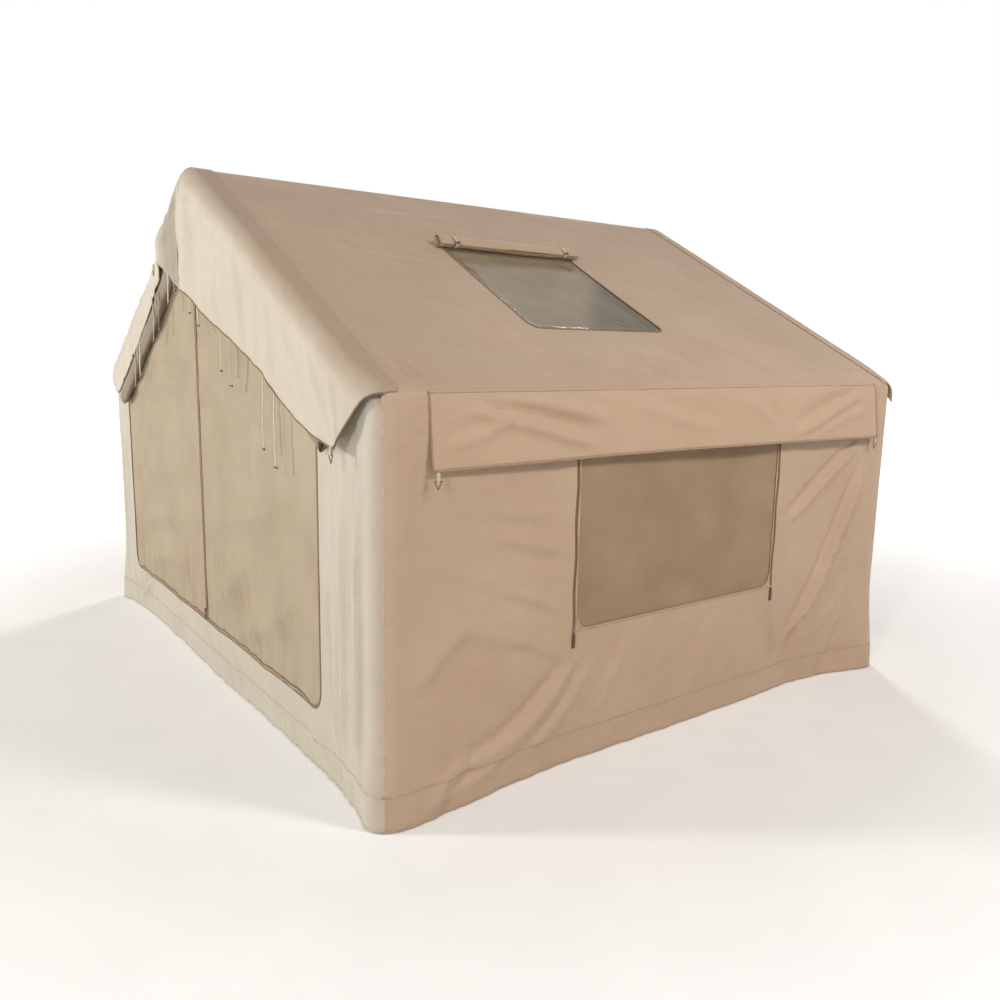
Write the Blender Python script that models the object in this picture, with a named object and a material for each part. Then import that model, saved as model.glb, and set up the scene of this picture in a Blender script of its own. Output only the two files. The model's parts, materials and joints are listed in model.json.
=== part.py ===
"""Inflatable tent: air-beam frame, welded cloth cover, mesh door and windows.

Metres, +Z up. The origin is the middle of the groundsheet's underside. The door gable
faces -Y, and the roof window is on the +X slope.
"""

import math

import bmesh
import bpy
from mathutils import Vector

# Driving dimensions of the whole tent
TENT_WIDTH = 3.50
TENT_DEPTH = 3.00
EAVE_HEIGHT = 1.52
RIDGE_HEIGHT = 2.45
CLOTH = 0.004
SEAM_GAP = 0.0003

# Air beams
ARCH_BEAM_RADIUS = 0.06
RIDGE_BEAM_RADIUS = 0.055
EAVE_BEAM_RADIUS = 0.05
BEAM_BEND_RADIUS = 0.12
BEAM_END_CROWN = 0.012
BEAM_END_SHARE = 0.8
BEAM_SIDES = 16
SEAM_STEPS = 2
BEND_STEPS = 5

# Inflation valve, on the inside of a rear column
VALVE_HEIGHT = 0.45
VALVE_FLANGE_RADIUS = 0.016
VALVE_FLANGE_THICKNESS = 0.003
VALVE_BARREL_RADIUS = 0.013
VALVE_BORE_RADIUS = 0.010
VALVE_BARREL_LENGTH = 0.030
VALVE_FLOOR = 0.003
VALVE_GUIDE = 0.003
VALVE_PLUNGER_RADIUS = 0.008
VALVE_PLUNGER_THICKNESS = 0.002
VALVE_STEM_RADIUS = 0.003
VALVE_TRAVEL = 0.004
VALVE_CAP_WALL = 0.002
VALVE_CAP_SKIRT = 0.010
VALVE_FIT = 0.0004
VALVE_SIDES = 24

# Skirt, door and windows
SKIRT_HEIGHT = 0.13
DOOR_HALF_WIDTH = 1.36
DOOR_CENTRE_X = -0.06
DOOR_SILL = 0.27
DOOR_HEAD_DROP = 0.27
DOOR_CLEARANCE = 0.002
DOOR_CENTRE_GAP = 0.0006
WINDOW_WIDTH = 1.20
WINDOW_CENTRE_Y = -0.02
WINDOW_SILL = 0.57
WINDOW_HEAD_DROP = 0.19
WINDOW_CORNER_RADIUS = 0.06
SKYLIGHT_FRONT_Y = -0.53
SKYLIGHT_REAR_Y = 0.26
SKYLIGHT_TOP_RUN = 0.70
SKYLIGHT_FOOT_RUN = 1.49
CORNER_STEPS = 4

# Roller cover above the roof window
COVER_ROLL_RADIUS = 0.045
COVER_FLAT_SHARE = 0.6
COVER_ROLL_OVERHANG = 0.03
COVER_TIE_INSET = 0.09
COVER_TIE_WIDTH = 0.020
COVER_TIE_THICKNESS = 0.002
ROLL_SIDES = 16

# Zips
ZIP_WIDTH = 0.014
ZIP_THICKNESS = 0.002
ZIP_SIDE_MARGIN = 0.008
ZIP_FOOT = 0.50
SLIDER_WIDTH = 0.010
SLIDER_THICKNESS = 0.006
SLIDER_LENGTH = 0.016
PULL_THICKNESS = 0.002
PULL_LENGTH = 0.040
SLIDER_REST_ABOVE_FOOT = 0.045

# Eave flaps
FLAP_FRONT_Y = -1.30
FLAP_REAR_Y = 1.33
FLAP_DROP = 0.27
FLAP_LEAN = 0.030
FLAP_FOLD_DEPTH = 0.012
FLAP_FOLD_SHARES = ((2.3, 0.35, 0.0, 0.7), (6.1, -0.5, 0.16, 0.3))
FLAP_HEM_SAG = 0.012
FLAP_COLUMNS = 36
FLAP_ROWS = 5

# Gable valances. Each hem is a list of (share of half the width, share of the depth).
VALANCE_LAP = 0.02
VALANCE_OVERHANG = 0.054
VALANCE_DEPTH = 0.55
VALANCE_FOLD_DEPTH = 0.014
VALANCE_COLUMNS = 34
VALANCE_ROWS = 11
ROW_SPREAD_SHARE = 1.5
COLUMN_SPREAD_SHARE = 1.3
RIGHT_HEM_SHARES = (
    (0.0, 1.0),
    (0.17, 0.96),
    (0.29, 0.88),
    (0.40, 0.81),
    (0.57, 0.73),
    (0.70, 0.71),
    (0.80, 0.65),
    (0.89, 0.545),
    (0.93, 0.36),
    (0.96, 0.18),
    (1.0, 0.01),
)
LEFT_HEM_SHARES = (
    (0.0, 1.0),
    (0.076, 0.82),
    (0.139, 0.63),
    (0.194, 0.47),
    (0.242, 0.33),
    (0.288, 0.24),
    (0.45, 0.40),
    (0.60, 0.47),
    (0.80, 0.51),
    (0.93, 0.49),
    (0.97, 0.36),
    (1.0, 0.12),
)
RIGHT_HOOK_SHARE = 0.895
LEFT_HOOK_SHARE = 0.27
RIGHT_FOLD_SHARES = ((1.8, 0.3, 0.35, 0.6), (5.3, -0.4, 0.0, 0.4))
LEFT_FOLD_SHARES = ((2.4, 0.5, 0.1, 1.0),)
GATHER_FOLD_SHARES = ((9.0, 0.32, 0.0, 1.0),)
GATHER_BULGE = 0.020
VERGE_OVERHANG = 0.04
VERGE_DROP = 0.09

# Rolled curtains under the valances
CURTAIN_ROLL_HEIGHT = 0.10
CURTAIN_ROLL_DEPTH = 0.05
CURTAIN_ROLL_INNER_DROP = 0.25
CURTAIN_ROLL_OUTER_DROP = 0.37
CURTAIN_ROLL_INNER_X = 0.02
CURTAIN_ROLL_OUTER_X = 1.42
CURTAIN_ROLL_SAG = 0.008
CURTAIN_ROLL_STATIONS = 19
CURTAIN_ROLL_SIDES = 14
TIE_STEPS = 12
CURTAIN_END_SHARE = 0.72
RIGHT_TIE_SHARES = (0.055, 0.35, 0.685)
LEFT_TIE_SHARES = (0.16, 0.37, 0.67)
TIE_SPREAD = 0.13
RIGHT_TIE_TAIL = 0.31
LEFT_TIE_TAIL = 0.11
TIE_WIDTH = 0.010
TIE_THICKNESS = 0.002
TOGGLE_LENGTH = 0.032
TOGGLE_RADIUS = 0.006

# Hooks on elastic loops
LOOP_WIDTH = 0.012
LOOP_LENGTH = 0.034
LOOP_THICKNESS = 0.0016
LOOP_EYE = 0.0048
HOOK_WIRE_RADIUS = 0.0016
HOOK_WIDTH = 0.030
HOOK_LENGTH = 0.028

SLOPE = (RIDGE_HEIGHT - EAVE_HEIGHT) / (TENT_WIDTH / 2)
PITCH = math.atan(SLOPE)
HALF_WIDTH = TENT_WIDTH / 2
HALF_DEPTH = TENT_DEPTH / 2
BEAM_SEAT = ARCH_BEAM_RADIUS + SEAM_GAP
COVER_SEAT = BEAM_SEAT + CLOTH
COLUMN_X = HALF_WIDTH - COVER_SEAT
COLUMN_Y = HALF_DEPTH - COVER_SEAT
FLOOR_TOP = CLOTH
WALL_FOOT = FLOOR_TOP + SEAM_GAP
WINDOW_TOP = EAVE_HEIGHT - WINDOW_HEAD_DROP
FACET_TURN = 2 * math.pi / BEAM_SIDES
WRAP_ANGLES = [FACET_TURN * (k + 0.5) for k in range(BEAM_SIDES // 4)]

SHELL_TAN = (0.52, 0.38, 0.26)
SHELL_CREAM = (0.66, 0.59, 0.47)
MESH_TAN = (0.45, 0.36, 0.25)
MESH_BROWN = (0.30, 0.22, 0.14)
CANVAS_GREY = (0.14, 0.11, 0.08)
BEAM_GREY = (0.35, 0.36, 0.37)
ZIP_BROWN = (0.18, 0.10, 0.05)
TRIM_BLACK = (0.02, 0.02, 0.02)
PVC_CLEAR = (0.40, 0.38, 0.34)

PIVOTS = {}


def clear_scene():
    """Removes every object that the file opened with."""
    for obj in list(bpy.data.objects):
        bpy.data.objects.remove(obj, do_unlink=True)


def make_material(name, colour, roughness, metallic=0.0):
    """A Principled material in one colour."""
    material = bpy.data.materials.new(name)
    material.use_nodes = True
    shader = material.node_tree.nodes["Principled BSDF"]
    shader.inputs["Base Color"].default_value = (*colour, 1)
    shader.inputs["Roughness"].default_value = roughness
    shader.inputs["Metallic"].default_value = metallic
    material.diffuse_color = (*colour, 1)
    return material


def add_part(name, shape, colour, roughness=0.7, metallic=0.0, pivot=(0, 0, 0), parent=None):
    """One named solid. Its origin is the pivot, and it may ride on another part."""
    points, faces = shape
    origin = Vector(pivot)
    mesh = bpy.data.meshes.new(name)
    mesh.from_pydata([Vector(p) - origin for p in points], [], faces)
    editable = bmesh.new()
    editable.from_mesh(mesh)
    bmesh.ops.recalc_face_normals(editable, faces=editable.faces)
    editable.to_mesh(mesh)
    editable.free()
    mesh.shade_smooth()
    mesh.set_sharp_from_angle(angle=math.radians(35))
    mesh.materials.append(make_material(name, colour, roughness, metallic))
    obj = bpy.data.objects.new(name, mesh)
    bpy.context.scene.collection.objects.link(obj)
    PIVOTS[name] = origin
    obj.location = origin
    if parent:
        obj.parent = parent
        obj.location = origin - PIVOTS[parent.name]
    return obj


def cut(target, name, shape):
    """Takes a closed cutter shape out of a part."""
    cutter = add_part(name, shape, TRIM_BLACK)
    cutter.hide_render = True
    cutter.display_type = "WIRE"
    modifier = target.modifiers.new(name, "BOOLEAN")
    modifier.operation = "DIFFERENCE"
    modifier.object = cutter


def loft(rings):
    """Skins a row of closed rings with the same number of points, and caps both ends."""
    count = len(rings[0])
    points = [point for ring in rings for point in ring]
    faces = []
    for row in range(len(rings) - 1):
        for k in range(count):
            after = (k + 1) % count
            low = row * count
            high = low + count
            faces.append((low + k, low + after, high + after, high + k))
    last = (len(rings) - 1) * count
    faces.append(tuple(reversed(range(count))))
    faces.append(tuple(range(last, last + count)))
    return points, faces


def sheet(inner, outer):
    """A closed cloth between two grids of points, each a list of equal rows."""
    rows = len(inner)
    columns = len(inner[0])
    size = rows * columns
    points = [p for row in inner for p in row] + [p for row in outer for p in row]
    faces = []
    for i in range(rows - 1):
        for j in range(columns - 1):
            a = i * columns + j
            corners = (a, a + 1, a + columns + 1, a + columns)
            faces.append(corners)
            faces.append(tuple(size + k for k in reversed(corners)))
    edge = [j for j in range(columns)]
    edge += [i * columns + columns - 1 for i in range(1, rows)]
    edge += [(rows - 1) * columns + j for j in reversed(range(columns - 1))]
    edge += [i * columns for i in reversed(range(1, rows - 1))]
    for k, start in enumerate(edge):
        end = edge[(k + 1) % len(edge)]
        faces.append((start, start + size, end + size, end))
    return points, faces


def extrude(outline, start, end):
    """A prism: each outline point moved by the start vector and by the end vector."""
    return loft([[Vector(p) + Vector(move) for p in outline] for move in (start, end)])


def mirrored(shape, side):
    """The shape as drawn for side +1, or its mirror image across x = 0 for side -1."""
    points, faces = shape
    return [(side * p[0], p[1], p[2]) for p in points], faces


def roof_z(x, depth=0.0):
    """Height of the roof's outer plane over x, or of a plane that far beneath it."""
    return RIDGE_HEIGHT - SLOPE * abs(x) - depth / math.cos(PITCH)


def facet_ring(centre, side, up, radius, sides):
    """A ring whose flats are tangent to the circle, so that flats meet flat neighbours."""
    turn = 2 * math.pi / sides
    reach = radius / math.cos(turn / 2)
    angles = [turn * (k + 0.5) for k in range(sides)]
    return [centre + reach * (math.cos(a) * side + math.sin(a) * up) for a in angles]


def rounded_path(corners, radius, steps):
    """Points with their directions along straight runs joined by arcs."""
    path = []
    for k, corner in enumerate(corners):
        if k in (0, len(corners) - 1):
            near = corners[1] if k == 0 else corners[k - 1]
            ahead = (near - corner if k == 0 else corner - near).normalized()
            path.append((corner, ahead))
            continue
        before = (corner - corners[k - 1]).normalized()
        after = (corners[k + 1] - corner).normalized()
        turn = before.angle(after)
        reach = radius * math.tan(turn / 2)
        start = corner - reach * before
        inward = (after - before * before.dot(after)).normalized()
        for step in range(steps + 1):
            angle = turn * step / steps
            ahead = math.cos(angle) * before + math.sin(angle) * inward
            point = start + radius * (math.sin(angle) * before + (1 - math.cos(angle)) * inward)
            path.append((point, ahead))
    return path


def beam(path, side, radius):
    """An air beam along a path, with slightly crowned ends."""
    rings = []
    for k, (centre, ahead) in enumerate(path):
        up = ahead.cross(side)
        ring = facet_ring(centre, side, up, radius, BEAM_SIDES)
        small = facet_ring(centre, side, up, radius * BEAM_END_SHARE, BEAM_SIDES)
        if k == 0:
            rings.append(small)
            ring = [p + BEAM_END_CROWN * ahead for p in ring]
        if k == len(path) - 1:
            ring = [p - BEAM_END_CROWN * ahead for p in ring]
        rings.append(ring)
        if k == len(path) - 1:
            rings.append(small)
    return loft(rings)


def build_frame():
    """Two arches, the ridge beam and two eave beams."""
    eave = roof_z(COLUMN_X, COVER_SEAT)
    apex = roof_z(0, COVER_SEAT)
    for name, y in (("front_arch_beam", -COLUMN_Y), ("rear_arch_beam", COLUMN_Y)):
        corners = [
            Vector((-COLUMN_X, y, WALL_FOOT)),
            Vector((-COLUMN_X, y, eave)),
            Vector((0, y, apex)),
            Vector((COLUMN_X, y, eave)),
            Vector((COLUMN_X, y, WALL_FOOT)),
        ]
        path = rounded_path(corners, BEAM_BEND_RADIUS, BEND_STEPS)
        add_part(name, beam(path, Vector((0, 1, 0)), ARCH_BEAM_RADIUS), BEAM_GREY)
    end_y = COLUMN_Y - ARCH_BEAM_RADIUS - SEAM_GAP
    ahead = Vector((0, 1, 0))
    ridge_side = Vector((math.sin(PITCH), 0, math.cos(PITCH)))
    ridge_z = roof_z(0, CLOTH + SEAM_GAP + RIDGE_BEAM_RADIUS / math.cos(FACET_TURN / 2))
    ridge = [(Vector((0, y, ridge_z)), ahead) for y in (-end_y, end_y)]
    add_part("ridge_beam", beam(ridge, ridge_side, RIDGE_BEAM_RADIUS), BEAM_GREY)
    eave_reach = CLOTH + SEAM_GAP + EAVE_BEAM_RADIUS
    eave_x = HALF_WIDTH - eave_reach
    eave_z = roof_z(eave_x, CLOTH + SEAM_GAP + EAVE_BEAM_RADIUS / math.cos(FACET_TURN / 2))
    for side, word in ((1, "right"), (-1, "left")):
        run = [(Vector((eave_x, y, eave_z)), ahead) for y in (-end_y, end_y)]
        shape = beam(run, Vector((1, 0, 0)), EAVE_BEAM_RADIUS)
        add_part("eave_beam_" + word, mirrored(shape, side), BEAM_GREY)


def wall_corner(side_x, side_y, count):
    """Cover vertices round a corner column, from the gable face towards the side wall."""
    reach = 1 / math.cos(FACET_TURN / 2)
    stations = []
    for angle in WRAP_ANGLES[:count]:
        outward = reach * Vector((side_x * math.sin(angle), side_y * math.cos(angle)))
        stations.append((Vector((side_x * COLUMN_X, side_y * COLUMN_Y)), outward))
    return stations


def wall_top(x):
    """Top edge of the cover's walls: beam level on a gable, under the roof cloth at the side."""
    past_column = abs(x) - COLUMN_X
    if past_column <= 0:
        return roof_z(x, COVER_SEAT)
    gable = roof_z(x, COVER_SEAT) + past_column / math.cos(PITCH)
    return min(gable, roof_z(HALF_WIDTH, CLOTH) - SEAM_GAP)


def wall_strip(stations, foot, top):
    """An upright cloth strip through plan stations, each a centre and an outward reach."""
    rings = []
    for centre, outward in stations:
        outer = centre + COVER_SEAT * outward
        inner = centre + BEAM_SEAT * outward
        high = top(outer.x)
        rings.append(
            [
                Vector((outer.x, outer.y, foot)),
                Vector((outer.x, outer.y, high)),
                Vector((inner.x, inner.y, high)),
                Vector((inner.x, inner.y, foot)),
            ]
        )
    return rings


def flat_station(x, y, outward):
    """A plan station on a straight wall, its centre one seat inside the cover."""
    outward = Vector(outward)
    return Vector((x, y)) - COVER_SEAT * outward, outward


def gable_stations(side_y):
    """From the left seam round both corners to the right seam, with the ridge between."""
    left = list(reversed(wall_corner(-1, side_y, SEAM_STEPS + 1)))
    right = wall_corner(1, side_y, SEAM_STEPS + 1)
    middle = [flat_station(x, side_y * HALF_DEPTH, (0, side_y)) for x in (-COLUMN_X, 0, COLUMN_X)]
    return left + middle + right


def side_stations():
    """The right wall's stations from its front seam to its rear seam."""
    front = wall_corner(1, -1, len(WRAP_ANGLES))[SEAM_STEPS:]
    rear = list(reversed(wall_corner(1, 1, len(WRAP_ANGLES))[SEAM_STEPS:]))
    return front + rear


def shift_end_rings(rings, gap):
    """Draws both end rings in along the strip, for the seam gaps."""
    for end, near in ((0, 1), (-1, -2)):
        step = (rings[near][0] - rings[end][0]).normalized() * gap
        rings[end] = [p + Vector((step.x, step.y, 0)) for p in rings[end]]
    return rings


def rounded_rectangle(low, high, low_radius, high_radius):
    """Outline points of a rectangle in its own plane, with arcs at its corners."""
    corners = [
        ((low[0], low[1]), low_radius, math.pi),
        ((high[0], low[1]), low_radius, 1.5 * math.pi),
        ((high[0], high[1]), high_radius, 0.0),
        ((low[0], high[1]), high_radius, 0.5 * math.pi),
    ]
    outline = []
    for (x, y), radius, start in corners:
        steps = CORNER_STEPS if radius > 0 else 0
        centre_x = x + (radius if x == low[0] else -radius)
        centre_y = y + (radius if y == low[1] else -radius)
        for step in range(steps + 1):
            angle = start + 0.5 * math.pi * step / max(steps, 1)
            outline.append((centre_x + radius * math.cos(angle), centre_y + radius * math.sin(angle)))
    return outline


def window_outline(inset):
    """The window hole in the side wall as (y, z), drawn in by the inset."""
    low = (WINDOW_CENTRE_Y - WINDOW_WIDTH / 2 + inset, WINDOW_SILL + inset)
    high = (WINDOW_CENTRE_Y + WINDOW_WIDTH / 2 - inset, WINDOW_TOP - inset)
    return rounded_rectangle(low, high, WINDOW_CORNER_RADIUS - inset, WINDOW_CORNER_RADIUS - inset)


def door_outline(low_x, high_x, sill, head_drop):
    """A door opening or leaf as (x, z), its head parallel to the roof."""
    ridge = [(0, roof_z(0) - head_drop)] if low_x < 0 < high_x else []
    foot = [(low_x, sill), (high_x, sill)]
    return foot + [(high_x, roof_z(high_x) - head_drop)] + ridge + [(low_x, roof_z(low_x) - head_drop)]


def build_floor_and_skirt():
    """The groundsheet, and the skirt band welded round it."""
    ring = wall_corner(1, -1, len(WRAP_ANGLES))
    ring += list(reversed(wall_corner(1, 1, len(WRAP_ANGLES))))
    ring += wall_corner(-1, 1, len(WRAP_ANGLES))
    ring += list(reversed(wall_corner(-1, -1, len(WRAP_ANGLES))))
    plan = [centre + COVER_SEAT * outward for centre, outward in ring]
    outline = [(p.x, p.y, 0) for p in plan]
    add_part("groundsheet", extrude(outline, (0, 0, 0), (0, 0, CLOTH)), CANVAS_GREY)
    rings = wall_strip(ring, WALL_FOOT, lambda x: SKIRT_HEIGHT - SEAM_GAP)
    points, faces = loft(rings)
    count = len(rings[0])
    last = (len(rings) - 1) * count
    faces = faces[:-2]
    for k in range(count):
        after = (k + 1) % count
        faces.append((last + k, last + after, after, k))
    add_part("skirt_band", (points, faces), SHELL_TAN)


def build_walls():
    """Four cover walls with the door opening and both window openings."""
    overrun = CLOTH * 2
    front_rings = wall_strip(gable_stations(-1), SKIRT_HEIGHT, wall_top)
    front = add_part("wall_front", loft(front_rings), SHELL_CREAM)
    low_x = DOOR_CENTRE_X - DOOR_HALF_WIDTH
    high_x = DOOR_CENTRE_X + DOOR_HALF_WIDTH
    outline = [(x, 0, z) for x, z in door_outline(low_x, high_x, DOOR_SILL, DOOR_HEAD_DROP)]
    door = extrude(outline, (0, -HALF_DEPTH - overrun, 0), (0, -HALF_DEPTH + CLOTH + overrun, 0))
    cut(front, "door_cutter", door)
    rear_rings = wall_strip(gable_stations(1), SKIRT_HEIGHT, wall_top)
    add_part("wall_rear", loft(rear_rings), SHELL_TAN)
    for side, word in ((1, "right"), (-1, "left")):
        rings = shift_end_rings(wall_strip(side_stations(), SKIRT_HEIGHT, wall_top), SEAM_GAP)
        wall = add_part("wall_" + word, mirrored(loft(rings), side), SHELL_TAN)
        hole = [(0, y, z) for y, z in window_outline(0)]
        low = (HALF_WIDTH - CLOTH - overrun, 0, 0)
        high = (HALF_WIDTH + overrun, 0, 0)
        cut(wall, "window_cutter_" + word, mirrored(extrude(hole, low, high), side))


def slope_point(run, y, lift):
    """A point on the right roof slope, by its run down from the ridge and its lift off it."""
    x = run * math.cos(PITCH) + lift * math.sin(PITCH)
    return Vector((x, y, RIDGE_HEIGHT - run * math.sin(PITCH) + lift * math.cos(PITCH)))


def skylight_outline(inset, lift):
    """The roof window's outline on the slope, its foot corners rounded."""
    low = (SKYLIGHT_FRONT_Y + inset, -SKYLIGHT_FOOT_RUN + inset)
    high = (SKYLIGHT_REAR_Y - inset, -SKYLIGHT_TOP_RUN - inset)
    flat = rounded_rectangle(low, high, WINDOW_CORNER_RADIUS - inset, 0)
    return [slope_point(-v, u, lift) for u, v in flat]


def build_roof():
    """Two roof panels, the clear pane in the right one and its rolled cover."""
    overrun = CLOTH * 2
    for side, word in ((1, "right"), (-1, "left")):
        outline = [
            (SEAM_GAP, 0, roof_z(SEAM_GAP)),
            (HALF_WIDTH, 0, EAVE_HEIGHT),
            (HALF_WIDTH, 0, roof_z(HALF_WIDTH, CLOTH)),
            (SEAM_GAP, 0, roof_z(SEAM_GAP, CLOTH)),
        ]
        shape = extrude(outline, (0, -COLUMN_Y, 0), (0, COLUMN_Y, 0))
        roof = add_part("roof_" + word, mirrored(shape, side), SHELL_TAN)
        if side > 0:
            hole = [skylight_outline(0, -CLOTH - overrun), skylight_outline(0, overrun)]
            cut(roof, "skylight_cutter", loft(hole))
    pane = [skylight_outline(SEAM_GAP, lift) for lift in (-CLOTH, 0)]
    add_part("skylight_pane", loft(pane), PVC_CLEAR, 0.15)
    build_skylight_cover()


def build_skylight_cover():
    """The rolled cover across the top of the roof window, and the two ties round it."""
    clear = (COVER_TIE_THICKNESS + SEAM_GAP * 2) / COVER_FLAT_SHARE
    run = SKYLIGHT_TOP_RUN - COVER_ROLL_RADIUS - clear
    lift = (COVER_ROLL_RADIUS + clear) * COVER_FLAT_SHARE
    start = SKYLIGHT_FRONT_Y - COVER_ROLL_OVERHANG
    end = SKYLIGHT_REAR_Y + COVER_ROLL_OVERHANG
    down = Vector((math.cos(PITCH), 0, -math.sin(PITCH)))
    off = Vector((math.sin(PITCH), 0, math.cos(PITCH))) * COVER_FLAT_SHARE
    rings = []
    for y in (start, end):
        rings.append(facet_ring(slope_point(run, y, lift), down, off, COVER_ROLL_RADIUS, ROLL_SIDES))
    add_part("skylight_cover_roll", loft(rings), SHELL_TAN)
    for y, word in ((start + COVER_TIE_INSET, "front"), (end - COVER_TIE_INSET, "rear")):
        middle = slope_point(run, y, lift)
        inside = COVER_ROLL_RADIUS + SEAM_GAP / COVER_FLAT_SHARE
        outside = inside + COVER_TIE_THICKNESS / COVER_FLAT_SHARE
        loops = []
        for shift in (-COVER_TIE_WIDTH / 2, COVER_TIE_WIDTH / 2):
            centre = middle + Vector((0, shift, 0))
            loops.append([facet_ring(centre, down, off, reach, ROLL_SIDES) for reach in (inside, outside)])
        add_part("skylight_tie_" + word, ring_between(loops), TRIM_BLACK)


def ring_between(loops):
    """A closed ring from its inner and outer outline at each of two ends."""
    (inner_a, outer_a), (inner_b, outer_b) = loops
    count = len(inner_a)
    points = inner_a + outer_a + outer_b + inner_b
    faces = []
    for row in range(4):
        for k in range(count):
            after = (k + 1) % count
            low = row * count
            high = (row + 1) % 4 * count
            faces.append((low + k, low + after, high + after, high + k))
    return points, faces


def build_slider(name, outer, foot, parent=None):
    """A zip slider with its hanging pull, drawn in (reach out of the cloth, height)."""
    reach, place = outer
    base = reach + SEAM_GAP
    face = base + SLIDER_THICKNESS
    top = foot + SLIDER_LENGTH
    outline = [
        (base, foot),
        (face - PULL_THICKNESS, foot),
        (face - PULL_THICKNESS, foot - PULL_LENGTH),
        (face, foot - PULL_LENGTH),
        (face, top - PULL_THICKNESS),
        (face - PULL_THICKNESS, top),
        (base, top),
    ]
    rings = [[place(out, across, z) for out, z in outline] for across in (-SLIDER_WIDTH / 2, SLIDER_WIDTH / 2)]
    add_part(name, loft(rings), TRIM_BLACK, 0.4, 0.0, place(base, 0, foot), parent)


def build_windows():
    """A mesh panel, two zips and two sliders on each side wall."""
    for side, word in ((1, "right"), (-1, "left")):
        flat = window_outline(SEAM_GAP)
        outline = [(0, y, z) for y, z in flat]
        panel = extrude(outline, (HALF_WIDTH - CLOTH, 0, 0), (HALF_WIDTH, 0, 0))
        add_part("window_mesh_" + word, mirrored(panel, side), MESH_BROWN)
        for sign, end in ((-1, "front"), (1, "rear")):
            y = WINDOW_CENTRE_Y + sign * (WINDOW_WIDTH / 2 + ZIP_SIDE_MARGIN + ZIP_WIDTH / 2)
            low = HALF_WIDTH + SEAM_GAP
            tape = [
                (low, y - ZIP_WIDTH / 2, ZIP_FOOT),
                (low, y + ZIP_WIDTH / 2, ZIP_FOOT),
                (low + ZIP_THICKNESS, y + ZIP_WIDTH / 2, ZIP_FOOT),
                (low + ZIP_THICKNESS, y - ZIP_WIDTH / 2, ZIP_FOOT),
            ]
            shape = extrude(tape, (0, 0, 0), (0, 0, WINDOW_TOP - ZIP_FOOT))
            add_part(f"window_zip_{word}_{end}", mirrored(shape, side), ZIP_BROWN)

            def place(out, across, z, y=y):
                return Vector((side * out, y + across, z))

            foot = ZIP_FOOT + SLIDER_REST_ABOVE_FOOT
            build_slider(f"zip_slider_{word}_{end}", (low + ZIP_THICKNESS, place), foot)


def ripple(shares, along, down):
    """Folds from 0 to 1: each row holds waves along, waves down, start and weight."""
    total = 0.0
    for waves, drift, start, weight in shares:
        turn = 2 * math.pi * (waves * along + drift * down + start)
        total += weight * (1 + math.sin(turn)) / 2
    return total


def flap_offset(share, y):
    """How far an eave flap stands off the wall, by its share of the drop and its place."""
    along = (y - FLAP_FRONT_Y) / (FLAP_REAR_Y - FLAP_FRONT_Y)
    return share * (FLAP_LEAN + FLAP_FOLD_DEPTH * ripple(FLAP_FOLD_SHARES, along, share))


def flap_hem(y):
    """Drop of an eave flap's hem, a little less in the middle."""
    along = (y - FLAP_FRONT_Y) / (FLAP_REAR_Y - FLAP_FRONT_Y)
    return FLAP_DROP - FLAP_HEM_SAG * math.sin(math.pi * along)


def build_eave_flaps():
    """The flap under each eave, hinged along its top, with a hook at each hem corner."""
    base = HALF_WIDTH + SEAM_GAP
    for side, word in ((1, "right"), (-1, "left")):
        inner, outer = [], []
        for row in range(FLAP_ROWS + 1):
            share = row / FLAP_ROWS
            ys = [
                FLAP_FRONT_Y + (FLAP_REAR_Y - FLAP_FRONT_Y) * k / FLAP_COLUMNS
                for k in range(FLAP_COLUMNS + 1)
            ]
            inner.append([(base + flap_offset(share, y), y, EAVE_HEIGHT - flap_hem(y) * share) for y in ys])
            outer.append([(x + CLOTH, y, z) for x, y, z in inner[-1]])
        pivot = (side * base, (FLAP_FRONT_Y + FLAP_REAR_Y) / 2, EAVE_HEIGHT)
        shape = mirrored(sheet(inner, outer), side)
        flap = add_part("eave_flap_" + word, shape, SHELL_TAN, pivot=pivot)
        for y, sign, end in ((FLAP_FRONT_Y, 1, "front"), (FLAP_REAR_Y, -1, "rear")):
            at_y = y + sign * LOOP_WIDTH
            x = base + flap_offset(1, at_y) + CLOTH / 2
            top = EAVE_HEIGHT - flap_hem(at_y) - SEAM_GAP
            build_hook(f"flap_{{}}_{word}_{end}", Vector((side * x, at_y, top)), (1, 0), pivot, flap)


def build_hook(names, top, across, pivot=(0, 0, 0), parent=None):
    """An elastic loop under a hem, and the wire hook that swings in it.

    The loop is a band seen edge-on along the hem. Across is the direction, in plan, in
    which its two layers lie apart.
    """
    out = Vector((across[0], across[1], 0))
    along = Vector((-across[1], across[0], 0))
    down = Vector((0, 0, -1))
    half_eye = LOOP_EYE / 2
    half_band = half_eye + LOOP_THICKNESS
    bend = top + down * (LOOP_LENGTH - half_band)
    head = top + down * half_band

    def racetrack(reach, shift):
        """A narrow upright oval round the eye of the loop."""
        points = []
        for centre, start in ((bend, math.pi), (head, 0.0)):
            for step in range(5):
                angle = start + math.pi * step / 4
                spoke = math.cos(angle) * out - math.sin(angle) * down
                points.append(centre + reach * spoke + shift * along)
        return points

    shifts = (-LOOP_WIDTH / 2, LOOP_WIDTH / 2)
    loops = [[racetrack(half_eye, shift), racetrack(half_band, shift)] for shift in shifts]
    loop = add_part(names.format("loop"), ring_between(loops), TRIM_BLACK, pivot=pivot, parent=parent)
    bar = bend
    low = bar + down * HOOK_LENGTH
    corners = [bar + along * HOOK_WIDTH / 2, low, bar - along * HOOK_WIDTH / 2]
    rings = wire_triangle(corners, out)
    add_part(names.format("hook"), rings, TRIM_BLACK, 0.4, 0.0, bar, loop)


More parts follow.
